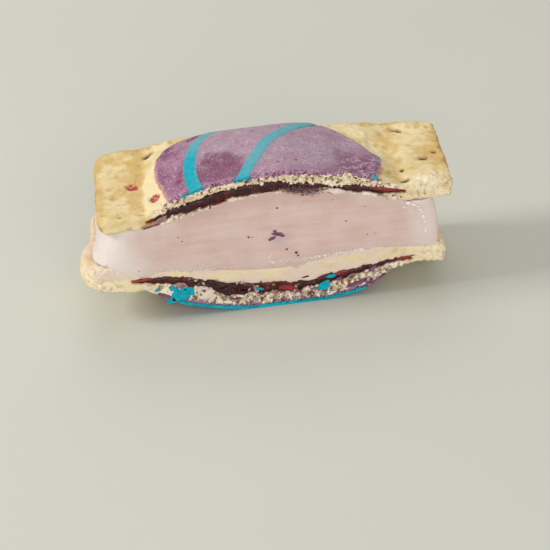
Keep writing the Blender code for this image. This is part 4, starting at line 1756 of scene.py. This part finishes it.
@dataclass
class Drizzle:
    """Stripes of drizzle on a sheet of icing, joined in one mesh."""

    name: str
    slot: str
    icing: Icing
    stripes: tuple[Stripe, ...]
    seed: int
    rise: float = 0.1
    sag: float = 0.12
    cell: float = 0.2
    lines_across: int = 19
    tip: float = 0.07

    def build(self, material: bpy.types.Material) -> bpy.types.Object:
        """Makes each stripe along a parabola through its places, low-crowned, with wavy edges.

        The crown is 1 less the sixth power of the distance from the middle line, and the far end
        is rounded off as a quarter circle.

        Args:
            material: its finish.

        Returns:
            The joined piece.
        """
        joined = Joined("frost_and_sheen")
        for number, stripe in enumerate(self.stripes):
            first, middle, last = (np.array(p) for p in (stripe.start, stripe.middle, stripe.end))
            control = 2 * middle - (first + last) / 2
            count = int(np.linalg.norm(last - first) / self.cell)
            block = Block(
                np.linspace(-1, 1, self.lines_across), np.linspace(0, 1, count),
                np.array([0.0, 1.0])
            )
            side, v, w = block.lines()
            t = v[:, None]
            centre = first * (1 - t) ** 2 + control * 2 * t * (1 - t) + last * t * t
            along = (control - first) * (1 - t) + (last - control) * t
            along = along / np.linalg.norm(along, axis=1, keepdims=True)
            wave = 1 + 0.13 * cloud(rows(side * 3, v * 9, 4.0 * number), 1.0, self.seed + number)
            tip = rim_swell(v, self.tip, 0.2)
            reach = side * stripe.width / 2 * wave * tip
            x = centre[:, 0] - along[:, 1] * reach
            y = np.maximum(centre[:, 1] + along[:, 0] * reach, CUT_Y - PROUD)
            outward = self.icing.outward
            crown = self.rise - (self.rise + self.sag) * np.abs(side) ** 6
            share = w if outward > 0 else 1 - w
            level = self.icing.skin(x, np.maximum(y, CUT_Y))
            z = level + outward * np.where(share > 0.5, crown, -stripe.sink * np.sqrt(tip))
            # Frost and painted sheen of the icing under the stripe
            frost_and_sheen = (
                np.clip(0.25 + 0.9 * self.icing.frost_and_sheen(x, y), 0, 1)
                * ease((y - stripe.clear_to) / 7.0)
            )
            joined.add(rows(x, y, np.maximum(z, self.icing.lowest)), block.faces[:, ::-1], frost_and_sheen)
        return joined.piece(self.name, material, self.slot)


@dataclass(frozen=True)
class Viewpoint:
    """Where the camera stands, found by fitting the pastry's corners in the picture."""

    elevation: float = 28.0
    yaw: float = 2.2973
    roll: float = 5.9059
    distance: float = 509.5
    right: float = 0.32
    up: float = 16.05
    lens: float = 159.7
    sensor: float = 36.0
    aim: tuple[float, float, float] = (1.5, -14.75, 25.4)

    def build(self) -> bpy.types.Object:
        """Makes the camera: it looks along the yawed and tilted view line, turned by the roll."""
        e, a, r = (math.radians(angle) for angle in (self.elevation, self.yaw, self.roll))
        level = Vector((math.cos(a), -math.sin(a), 0))
        rise = Vector((math.sin(e) * math.sin(a), math.sin(e) * math.cos(a), math.cos(e)))
        ahead = Vector((math.cos(e) * math.sin(a), math.cos(e) * math.cos(a), -math.sin(e)))
        across = level * math.cos(r) - rise * math.sin(r)
        upward = level * math.sin(r) + rise * math.cos(r)
        place = Vector(self.aim) - across * self.right - upward * self.up - ahead * self.distance
        data = bpy.data.cameras.new("camera")
        data.lens = self.lens
        data.sensor_width = self.sensor
        data.clip_start = 0.01
        camera = bpy.data.objects.new("camera", data)
        turn = Matrix((across, upward, -ahead)).transposed()
        camera.matrix_world = Matrix.Translation(place * MM) @ turn.to_4x4()
        bpy.context.scene.collection.objects.link(camera)
        bpy.context.scene.camera = camera
        return camera


@dataclass(frozen=True)
class Lamp:
    """A soft square light that looks at the slice: its place in metres, size and power."""

    name: str
    place: tuple[float, float, float]
    size: float
    power: float
    colour: tuple[float, float, float] = (1.0, 1.0, 1.0)
    aim: tuple[float, float, float] = (0.0, 0.0, 0.015)

    def build(self) -> None:
        """Makes the light, turned to the slice."""
        data = bpy.data.lights.new(self.name, "AREA")
        data.size = self.size
        data.energy = self.power
        data.color = self.colour
        lamp = bpy.data.objects.new(self.name, data)
        lamp.location = self.place
        ahead = Vector(self.aim) - Vector(self.place)
        lamp.rotation_euler = ahead.to_track_quat("-Z", "Y").to_euler()
        bpy.context.scene.collection.objects.link(lamp)


@dataclass(frozen=True)
class Studio:
    """A plain pale floor and soft light from the left and above."""

    floor: Colour = (210, 211, 201)
    half: float = 3.0
    world: float = 0.44
    lamps: tuple[Lamp, ...] = (
        Lamp("key", (-0.64, 0.05, 0.46), 0.26, 3.2, (1.0, 0.98, 0.95)),
        Lamp("back_sheen", (0.05, 0.7, 0.6), 0.5, 1.6, (1.0, 0.98, 0.96)),
        Lamp("front_fill", (0.1, -0.85, 0.32), 0.5, 3.5, (1.0, 0.98, 0.96)),
    )

    def build(self) -> None:
        """Makes the floor, the lights and the sky light."""
        mesh = bpy.data.meshes.new("floor")
        h = self.half
        mesh.from_pydata([(-h, -h, 0), (h, -h, 0), (h, h, 0), (-h, h, 0)], [], [(0, 1, 2, 3)])
        floor = bpy.data.objects.new("floor", mesh)
        bpy.context.scene.collection.objects.link(floor)
        mix = Recipe("floor_finish", 0.8, Specular_IOR_Level=0.2)
        warm = tuple(part - 4 for part in self.floor)
        mesh.materials.append(mix.finish(mix.blend(mix.noise(60.0, 3.0), self.floor, warm)))
        world = bpy.data.worlds.new("soft_sky")
        world.use_nodes = True
        sky = world.node_tree.nodes["Background"].inputs
        sky["Color"].default_value = (1.0, 0.985, 0.955, 1.0)
        sky["Strength"].default_value = self.world
        bpy.context.scene.world = world
        for lamp in self.lamps:
            lamp.build()


class CrumbKind(Enum):
    """Kinds of loose crumbs, by the tone that they have in their piece's name."""

    PALE = "pale"
    DARK = "dark"


@dataclass
class CutCrumbs:
    """Loose crumbs, sugar grains and berry specks that stand out of the cut."""

    upper: Pastry
    lower: Pastry
    seed: int = 900
    in_strip: int = 560
    clump: int = 40
    held: int = 44
    sugar: int = 260
    dust: int = 420

    def strip(self, pastry: Pastry, low: Array, high: Array, x: Array, depth: Array) -> Array:
        """Places on a pastry's torn cut at a share of the height between low and high."""
        z = low + (high - low) * depth
        recess, _ = pastry.recess(x, z)
        return rows(x, CUT_Y + np.clip(recess - 0.08, 0.12, 0.8), z)

    def strips(self, count: int, draw: np.random.Generator) -> tuple[Array, Array]:
        """Grains on the open crumb, in the lower jam, and on a ledge in front of the icing's notch.

        The upper pastry has them over its jam and a few below it, the lower one below its jam.

        Args:
            count: how many grains each strip gets.
            draw: the random draw.

        Returns:
            The grains' places for the upper and the lower pastry.
        """
        x = draw.uniform(-22.8, 25.0, count)
        low, high = UPPER_JAM.limits(x)[1] + 0.1, UPPER_FACE.at(x, CUT_Y) - 0.15
        top = self.strip(self.upper, low, high, x, draw.uniform(0, 1, count))
        x = np.concatenate(
            (draw.uniform(-21.0, -10.0, count // 8), draw.uniform(24.0, 33.0, count // 8))
        )
        low, high = UPPER_UNDER.at(x, CUT_Y) + 0.3, UPPER_JAM.limits(x)[0] - 0.05
        under = self.strip(self.upper, low, high, x, draw.uniform(0, 1, len(x)))
        x = draw.uniform(-20.0, 24.5, count)
        low, high = LOWER_UNDER.at(x, CUT_Y) + 0.15, LOWER_JAM.limits(x)[0] - 0.05
        below = self.strip(self.lower, low, high, x, draw.uniform(0, 1, count))
        x = np.concatenate(
            (draw.normal(-4.7, 0.4, self.clump), draw.uniform(-19.0, 5.0, self.held))
        )
        low, high = LOWER_JAM.limits(x)
        clumped = np.arange(len(x)) < self.clump
        in_jam = np.where(clumped, draw.uniform(0, 0.75, len(x)), draw.uniform(0, 1, len(x)))
        held = rows(x, CUT_Y + draw.uniform(0.3, 0.5, len(x)), low + (high - low) * in_jam)
        x = NOTCH_X + 3.6 * draw.uniform(-1, 1, count // 4)
        hump = 1.15 * (1 - ((x - NOTCH_X) / 3.7) ** 2)
        z = UPPER_FACE.at(x, CUT_Y) - 0.3 + draw.uniform(0, 1, len(x)) * (0.3 + hump)
        ledge = rows(x, CUT_Y + draw.uniform(0.05, 0.2, len(x)), z)
        return np.concatenate((top, under, ledge)), np.concatenate((below, held))

    def build(self) -> None:
        """Makes one joined piece for each kind of grain and pastry."""
        draw = np.random.default_rng(self.seed)
        pale = SpeckleFinish((252, 240, 216), (222, 198, 160)).material("pale_crumb")
        grey = SpeckleFinish((224, 206, 194), (168, 142, 134)).material("grey_crumb")
        dark = SpeckleFinish((158, 120, 80), (98, 68, 46)).material("dark_crumb")
        top, bottom = self.strips(self.in_strip, draw)
        for name, places, light, light_share in (
            ("top", top, pale, 0.88), ("bottom", bottom, grey, 0.74)
        ):
            chosen = draw.uniform(0, 1, len(places)) < light_share
            for kind, finish, group in (
                (CrumbKind.PALE, light, chosen), (CrumbKind.DARK, dark, ~chosen)
            ):
                sizes = 0.08 + 0.34 * draw.uniform(0, 1, group.sum()) ** 3
                heap = Heap(
                    f"{name}_{kind.value}_crumbs", f"{name}_crust", finish, self.seed + len(name)
                )
                heap.build(places[group], sizes, 0.8)
        sugar = SpeckleFinish((206, 154, 188), (92, 40, 72), 0.4).material("sugar_grain")
        edges = (("top", UPPER_FACE, 1, (-22.8, 23.8)), ("bottom", LOWER_UNDER, -1, (-24.0, 21.0)))
        for name, face, outward, ends in edges:
            x = draw.uniform(*ends, self.sugar)
            z = np.maximum(face.at(x, CUT_Y) + outward * draw.uniform(0.1, 0.75, len(x)), 0.3)
            places = rows(x, CUT_Y + draw.uniform(0.12, 0.32, len(x)), z)
            heap = Heap(f"{name}_sugar_grains", f"{name}_icing", sugar, self.seed + 40)
            heap.build(places, draw.uniform(0.08, 0.2, len(x)))
        self.specks()
        self.dark_smear(draw)
        self.frost(draw)
        self.teal_bits(draw)

    def teal_bits(self, draw: np.random.Generator) -> None:
        """Bits of broken drizzle: six at the icing's right edge, and a line under each stripe."""
        edge = np.array(
            ((24.0, -4.9, 0.5), (23.6, -5.4, 0.35), (23.0, -11.1, 0.32),
             (22.3, -14.0, 0.5), (22.2, -13.5, 0.4), (22.5, -14.3, 0.35))
        )
        x = np.concatenate((draw.uniform(-18.0, -13.2, 36), draw.uniform(-7.2, -3.4, 22)))
        y = np.full_like(x, CUT_Y + 0.15)
        lift = np.concatenate((np.full(len(edge), 0.8), 0.5 + draw.uniform(-0.25, 0.35, len(x))))
        x, y = np.concatenate((edge[:, 0], x)), np.concatenate((edge[:, 1], y))
        sizes = np.concatenate((edge[:, 2], draw.uniform(0.12, 0.26, len(x) - len(edge))))
        places = rows(x, y, UPPER_FACE.at(x, y) + lift)
        finish = SpeckleFinish((0, 180, 200), (0, 140, 166), 0.4).material("drizzle_bit")
        Heap("drizzle_bits", "top_icing", finish, self.seed + 90).build(places, sizes)

    def dark_smear(self, draw: np.random.Generator) -> None:
        """Scatters jam-brown grains in a fuzzy oval under the upper jam."""
        x = SMEAR_X + draw.normal(0, 2.6, self.dust)
        z = SMEAR_Z - 0.16 * (x - SMEAR_X) + draw.normal(0, 0.55, self.dust)
        places = rows(x, CUT_Y + draw.uniform(0.12, 0.26, self.dust), z)
        finish = SpeckleFinish((130, 92, 92), (72, 44, 48), 0.5).material("jam_dust")
        Heap("jam_dust", "top_jam", finish, self.seed + 70).build(
            places, draw.uniform(0.05, 0.15, self.dust), 0.4
        )

    def frost(self, draw: np.random.Generator) -> None:
        """Scatters white frost grains along the foot of the cream, in a thin uneven line."""
        x = np.concatenate(
            (
                draw.uniform(-1.0, 21.0, 120), draw.uniform(5.0, 19.0, 150),
                draw.uniform(-28.0, 0.0, 50)
            )
        )
        z = through(((-28, 11.9), (-12, 10.6), *RIDGE_LINE), x) + draw.normal(0, 0.16, len(x))
        places = rows(x, CUT_Y + draw.uniform(0.05, 0.2, len(x)), z)
        finish = SpeckleFinish((252, 248, 242), (232, 218, 208), 0.35).material("frost_grain")
        Heap(
            "frost_grains", "ice_cream", finish, self.seed + 80
        ).build(places, draw.uniform(0.07, 0.19, len(x)), 0.7)

    def specks(self) -> None:
        """Makes the tiny berry specks in the ice cream where the picture shows them."""
        spots = (
            (-19.9, 18.9, 0.17), (-5.2, 17.0, 0.24), (-19.2, 17.9, 0.14), (-28.9, 12.1, 0.14),
            (1.4, 23.0, 0.22),
            (15.6, 18.0, 0.15), (19.8, 20.9, 0.18), (2.6, 13.1, 0.2), (19.8, 14.3, 0.14),
            (21.5, 14.2, 0.14),
            (-16.5, 11.5, 0.12), (13.2, 23.4, 0.12), (4.5, 12.0, 0.3), (4.8, 11.3, 0.22),
            (-4.4, 16.8, 0.12),
        )
        x, z, size = np.array(spots).T
        finish = SpeckleFinish((122, 52, 74), (70, 28, 48), 0.45).material("berry_speck")
        places = rows(x, CUT_Y + 0.2, z)
        Heap("berry_specks", "ice_cream", finish, self.seed + 60).build(places, size, 0.7)


@dataclass
class CutSmears:
    """Dabs of drizzle, icing, jam, cream and berry that the knife dragged over the cut."""

    teal: tuple[Dab, ...] = (
        Dab(-20.8, 5.2, 2.2, 1.4, 14.0, 0.45, 0.34, 0.45),
        Dab(-18.9, 6.2, 0.9, 1.2, 50.0, 0.4, 0.34, 0.5),
        Dab(-22.2, 6.9, 1.0, 0.6, -30.0, 0.4, 0.34, 0.5),
        Dab(-22.4, 4.4, 1.5, 0.7, 20.0, 0.35, 0.34, 0.5),
        Dab(-25.5, 7.0, 0.7, 0.28, 10.0, 0.3, 0.3), Dab(9.7, 3.3, 1.6, 0.95, 24.0, 0.45, 0.3, 0.7),
        Dab(11.4, 5.4, 1.1, 0.42, 8.0, 0.35, 0.32, 0.5), Dab(-4.0, 4.5, 1.0, 0.26, -20.0, 0.3, 0.3),
        Dab(-18.3, 5.2, 0.5, 0.4, 0.0, 0.3, 0.3),
    )
    purple: tuple[Dab, ...] = (
        Dab(16.7, 2.8, 2.6, 0.5, 12.0, 0.4, 0.34, 0.6),
        Dab(20.9, 3.4, 2.3, 0.5, 26.0, 0.4, 0.34, 0.6),
        Dab(20.4, 6.0, 1.1, 0.42, 24.0, 0.3, 0.3, 0.6),
        Dab(12.9, 4.6, 0.9, 0.35, 20.0, 0.3, 0.3, 0.6),
        Dab(3.6, 2.8, 1.2, 0.35, 0.0, 0.3, 0.32, 0.5),
        Dab(-24.0, 5.5, 1.9, 0.34, -26.0, 0.3, 0.3, 0.6),
        Dab(7.4, 3.0, 0.7, 0.3, 10.0, 0.3, 0.3, 0.7), Dab(-9.6, 2.6, 0.9, 0.26, 0.0, 0.3, 0.3, 0.7),
    )
    red: tuple[Dab, ...] = (
        Dab(2.0, 3.9, 2.3, 0.8, -6.0, 0.4, 0.3, 0.5),
        Dab(27.4, 7.7, 2.2, 0.35, 10.0, 0.35, 0.32, 0.5),
        Dab(13.6, 6.1, 1.6, 0.3, 12.0, 0.35, 0.32, 0.5),
        Dab(-28.6, 9.9, 2.2, 0.3, 0.0, 0.3, 0.3, 0.4),
        Dab(-25.4, 22.2, 2.3, 0.22, 13.0, 0.2, 0.25, 0.6),
        Dab(24.2, 24.4, 3.6, 0.4, -14.0, 0.3, 0.34, 0.5),
        Dab(-10.6, 25.7, 1.6, 0.22, 14.0, 0.2, 0.3, 0.6),
    )
    dark: tuple[Dab, ...] = (
        Dab(-10.8, 4.7, 1.8, 1.0, -20.0, 0.4, 0.4, 0.6),
        Dab(-14.4, 7.1, 1.2, 0.9, -40.0, 0.4, 0.38, 0.6),
        Dab(-18.6, 7.4, 0.9, 0.9, 60.0, 0.3, 0.34, 0.6),
        Dab(-7.6, 4.0, 1.3, 0.5, 0.0, 0.4, 0.36, 0.6),
        Dab(6.0, 6.0, 1.0, 0.22, 10.0, 0.3, 0.3, 0.4),
    )
    cream: tuple[Dab, ...] = (
        Dab(-15.6, 4.9, 2.3, 1.6, -10.0, 0.4, 0.4, 0.45),
        Dab(14.2, 25.2, 2.0, 0.7, -10.0, 0.3, 0.35, 0.5),
        Dab(-27.6, 7.9, 1.5, 0.6, -10.0, 0.3, 0.34, 0.5),
    )
    hazy: tuple[Dab, ...] = (
        Dab(-23.2, 23.3, 1.9, 0.5, 24.0, 0.2, 0.3, 0.5),
        Dab(-20.2, 7.4, 1.6, 0.8, -20.0, 0.25, 0.36, 0.5),
    )
    # Thin dabs of melted cream, painted near white to stand in for wet highlights
    wet: tuple[Dab, ...] = (
        Dab(29.0, 20.5, 0.7, 0.3, -30.0, 0.12, 0.08, 0.9),
        Dab(30.2, 19.9, 0.6, 0.26, -20.0, 0.12, 0.08, 0.9),
        Dab(31.4, 18.6, 0.5, 0.3, -60.0, 0.12, 0.08, 0.9),
        Dab(31.9, 16.9, 0.6, 0.26, -70.0, 0.12, 0.08, 0.9),
        Dab(32.2, 13.6, 0.5, 0.24, 80.0, 0.12, 0.08, 0.9),
        Dab(28.0, 19.6, 0.3, 0.2, 20.0, 0.12, 0.08, 0.9),
        Dab(-1.2, 11.9, 1.0, 0.08, 45.0, 0.1, 0.06, 0.4),
        Dab(31.0, 19.4, 0.3, 0.16, 0.0, 0.12, 0.08, 0.9),
        Dab(31.8, 17.9, 0.34, 0.16, 80.0, 0.12, 0.08, 0.9),
        Dab(32.2, 15.6, 0.3, 0.16, 70.0, 0.12, 0.08, 0.9),
    )
    berry: tuple[Dab, ...] = (
        Dab(1.0, 16.9, 1.15, 0.42, -14.0, 0.2, 0.24, 0.6),
        Dab(0.5, 17.6, 0.5, 0.34, 0.0, 0.2, 0.24, 0.6),
        Dab(-0.3, 16.0, 0.9, 0.32, 24.0, 0.18, 0.24, 0.6),
        Dab(1.9, 16.4, 0.5, 0.3, 0.0, 0.18, 0.24, 0.6),
    )

    def build(self) -> None:
        """Makes one joined piece for each kind of dab."""
        teal = DrizzleFinish().material("dragged_drizzle")
        Smear("dragged_drizzle", "bottom_icing", teal, 71).build(self.teal)
        kinds = (
            (
                "dragged_icing", "dragged_icing", "bottom_icing", (104, 54, 88), (150, 98, 132),
                0.5, self.purple
            ),
            ("thin_jam", "thin_jam", "bottom_jam", (128, 38, 40), (164, 56, 50), 0.35, self.red),
            ("jam_lumps", "jam_lump", "bottom_jam", (62, 26, 28), (44, 20, 26), 0.3, self.dark),
            (
                "dragged_cream", "dragged_cream", "ice_cream", (222, 204, 190), (236, 222, 210),
                0.4, self.cream
            ),
            (
                "berry_smears", "berry_smear", "ice_cream", (138, 94, 114), (86, 46, 78), 0.4,
                self.berry
            ),
            ("jam_haze", "jam_haze", "bottom_jam", (176, 142, 138), (128, 88, 92), 0.35, self.hazy),
            # Melted cream dabs, near white: painted highlights on the wet film
            (
                "melted_cream_glints", "melted_cream_glints", "ice_cream", (248, 238, 232), (255, 250, 246), 0.15,
                self.wet
            ),
        )
        for seed, (name, finish, slot, thin, thick, roughness, dabs) in enumerate(kinds, 72):
            material = SpeckleFinish(thin, thick, roughness).material(finish, "core")
            Smear(name, slot, material, seed).build(dabs)


@dataclass
class Slice:
    """The whole slice, layer by layer from the top."""

    upper_holes: tuple[Hole, ...] = (
        Hole(-28.5, -0.6, 1.3, 1.7, 20.0, 0.9, 1.0), Hole(-23.8, -8.9, 1.4, 2.0, 0.0, 0.9, 1.0),
        Hole(-24.3, 10.2, 1.8, 1.3, 20.0, 1.2),
        Hole(30.1, 10.2, 1.9, 1.3, -40.0, 1.4),
        Hole(34.0, -3.6, 1.5, 1.2, -10.0, 1.4), Hole(29.0, -12.4, 1.5, 1.5, 20.0, 1.6),
        Hole(36.6, -1.2, 0.7, 0.8, 0.0, 0.9),
        Hole(28.9, -7.4, 0.8, 1.0, 0.0, 0.5),
        Hole(-27.0, -14.1, 0.5, 0.4, 0.0, 0.5), Hole(-31.5, -14.0, 0.5, 0.4, 0.0, 0.5),
    )
    lower_holes: tuple[Hole, ...] = (
        Hole(-29.5, -3.0, 1.0, 1.0), Hole(-34.0, 5.0, 1.0, 0.9), Hole(-33.5, -10.0, 1.0, 0.8),
        Hole(29.8, 4.0, 1.1, 0.8),
        Hole(30.2, -9.0, 1.0, 0.9),
    )

    def build(self) -> None:
        """Builds every layer, its jam and icing, the drizzle, the smears and the crumbs."""
        crust = CrustFinish().material("baked_pastry")
        jam = JamFinish().material("dark_jam")
        icing = IcingFinish().material("purple_icing")
        teal = DrizzleFinish().material("teal_drizzle")
        upper = UpperPastry(
            "top_pastry", "top_crust", "top_crust", 1.2, UPPER_FACE, UPPER_UNDER, UPPER_JAM,
            self.upper_holes, 0.0, 1, 101
        )
        lower = LowerPastry(
            "bottom_pastry", "bottom_crust", "bottom_crust", -1.2, LOWER_FACE, LOWER_UNDER,
            LOWER_JAM, self.lower_holes, 2.6, -1, 161
        )
        upper.build(crust)
        lower.build(crust)
        IceCream().build(CreamFinish().material("pale_pink_cream"))
        Jam("top_jam_layer", "top_jam", UPPER_JAM, UPPER_FACE, UPPER_UNDER).build(jam)
        Jam("bottom_jam_layer", "bottom_jam", LOWER_JAM, LOWER_FACE, LOWER_UNDER).build(jam)
        top_icing = Icing(
            "top_icing_sheet", "top_icing", 0.5, UPPER_FACE, 1,
            (Lobe(21.6, 1.9, 1.5), Lobe(17.6, 1.6, -0.8), Lobe(-20.4, 1.5, 0.8)), 201,
            left=(
                (-14.75, 21.4), (-12.0, 22.1), (-6.9, 22.9), (-0.5, 23.7), (4.4, 23.6), (6.8, 22.2),
                (9.1, 19.4), (10.1, 16.4), (11.0, 13.0),
            ),
            right=(
                (-14.75, 22.3), (-12.2, 23.0), (-7.9, 23.9), (-3.8, 24.2), (-1.3, 23.2),
                (2.0, 21.2), (5.0, 18.7), (8.0, 15.2), (11.0, 10.0),
            ),
            lip=0.85,
        )
        bottom_icing = Icing(
            "bottom_icing_sheet", "bottom_icing", -1.6, LOWER_UNDER, -1, (Lobe(19.0, 2.0, 0.4),),
            231, droop=0.45
        )
        top_icing.build(icing)
        bottom_icing.build(icing)
        Drizzle(
            "top_drizzle", "top_icing", top_icing,
            (
                Stripe((-9.6, 9.6), (-15.2, -1.0), (-14.9, -14.9), 3.1, 0.45, -3.0),
                Stripe((11.8, 9.8), (2.4, 0.2), (-5.3, -14.9), 2.95, 0.45, -16.0),
            ), 211,
        ).build(teal)
        Drizzle(
            "bottom_drizzle", "bottom_icing", bottom_icing,
            (
                Stripe((18.8, -14.0), (-1.4, -14.5), (-21.4, -14.2), 2.75, 0.62),
                Stripe((14.0, 8.0), (6.0, 1.0), (1.0, -11.8))
            ),
            241,
        ).build(teal)
        CutSmears().build()
        CutCrumbs(upper, lower).build()


def plain_view() -> None:
    """Shows the colours as they are, with no film-like curve."""
    bpy.context.scene.view_settings.view_transform = "Standard"
    bpy.context.scene.view_settings.look = "None"


def main() -> None:
    """Builds the camera, the studio and the slice, and notes their sizes."""
    logging.basicConfig(level=logging.INFO, format="%(name)s: %(message)s")
    plain_view()
    Viewpoint().build()
    Studio().build()
    Slice().build()


if __name__ == "__main__":
    main()
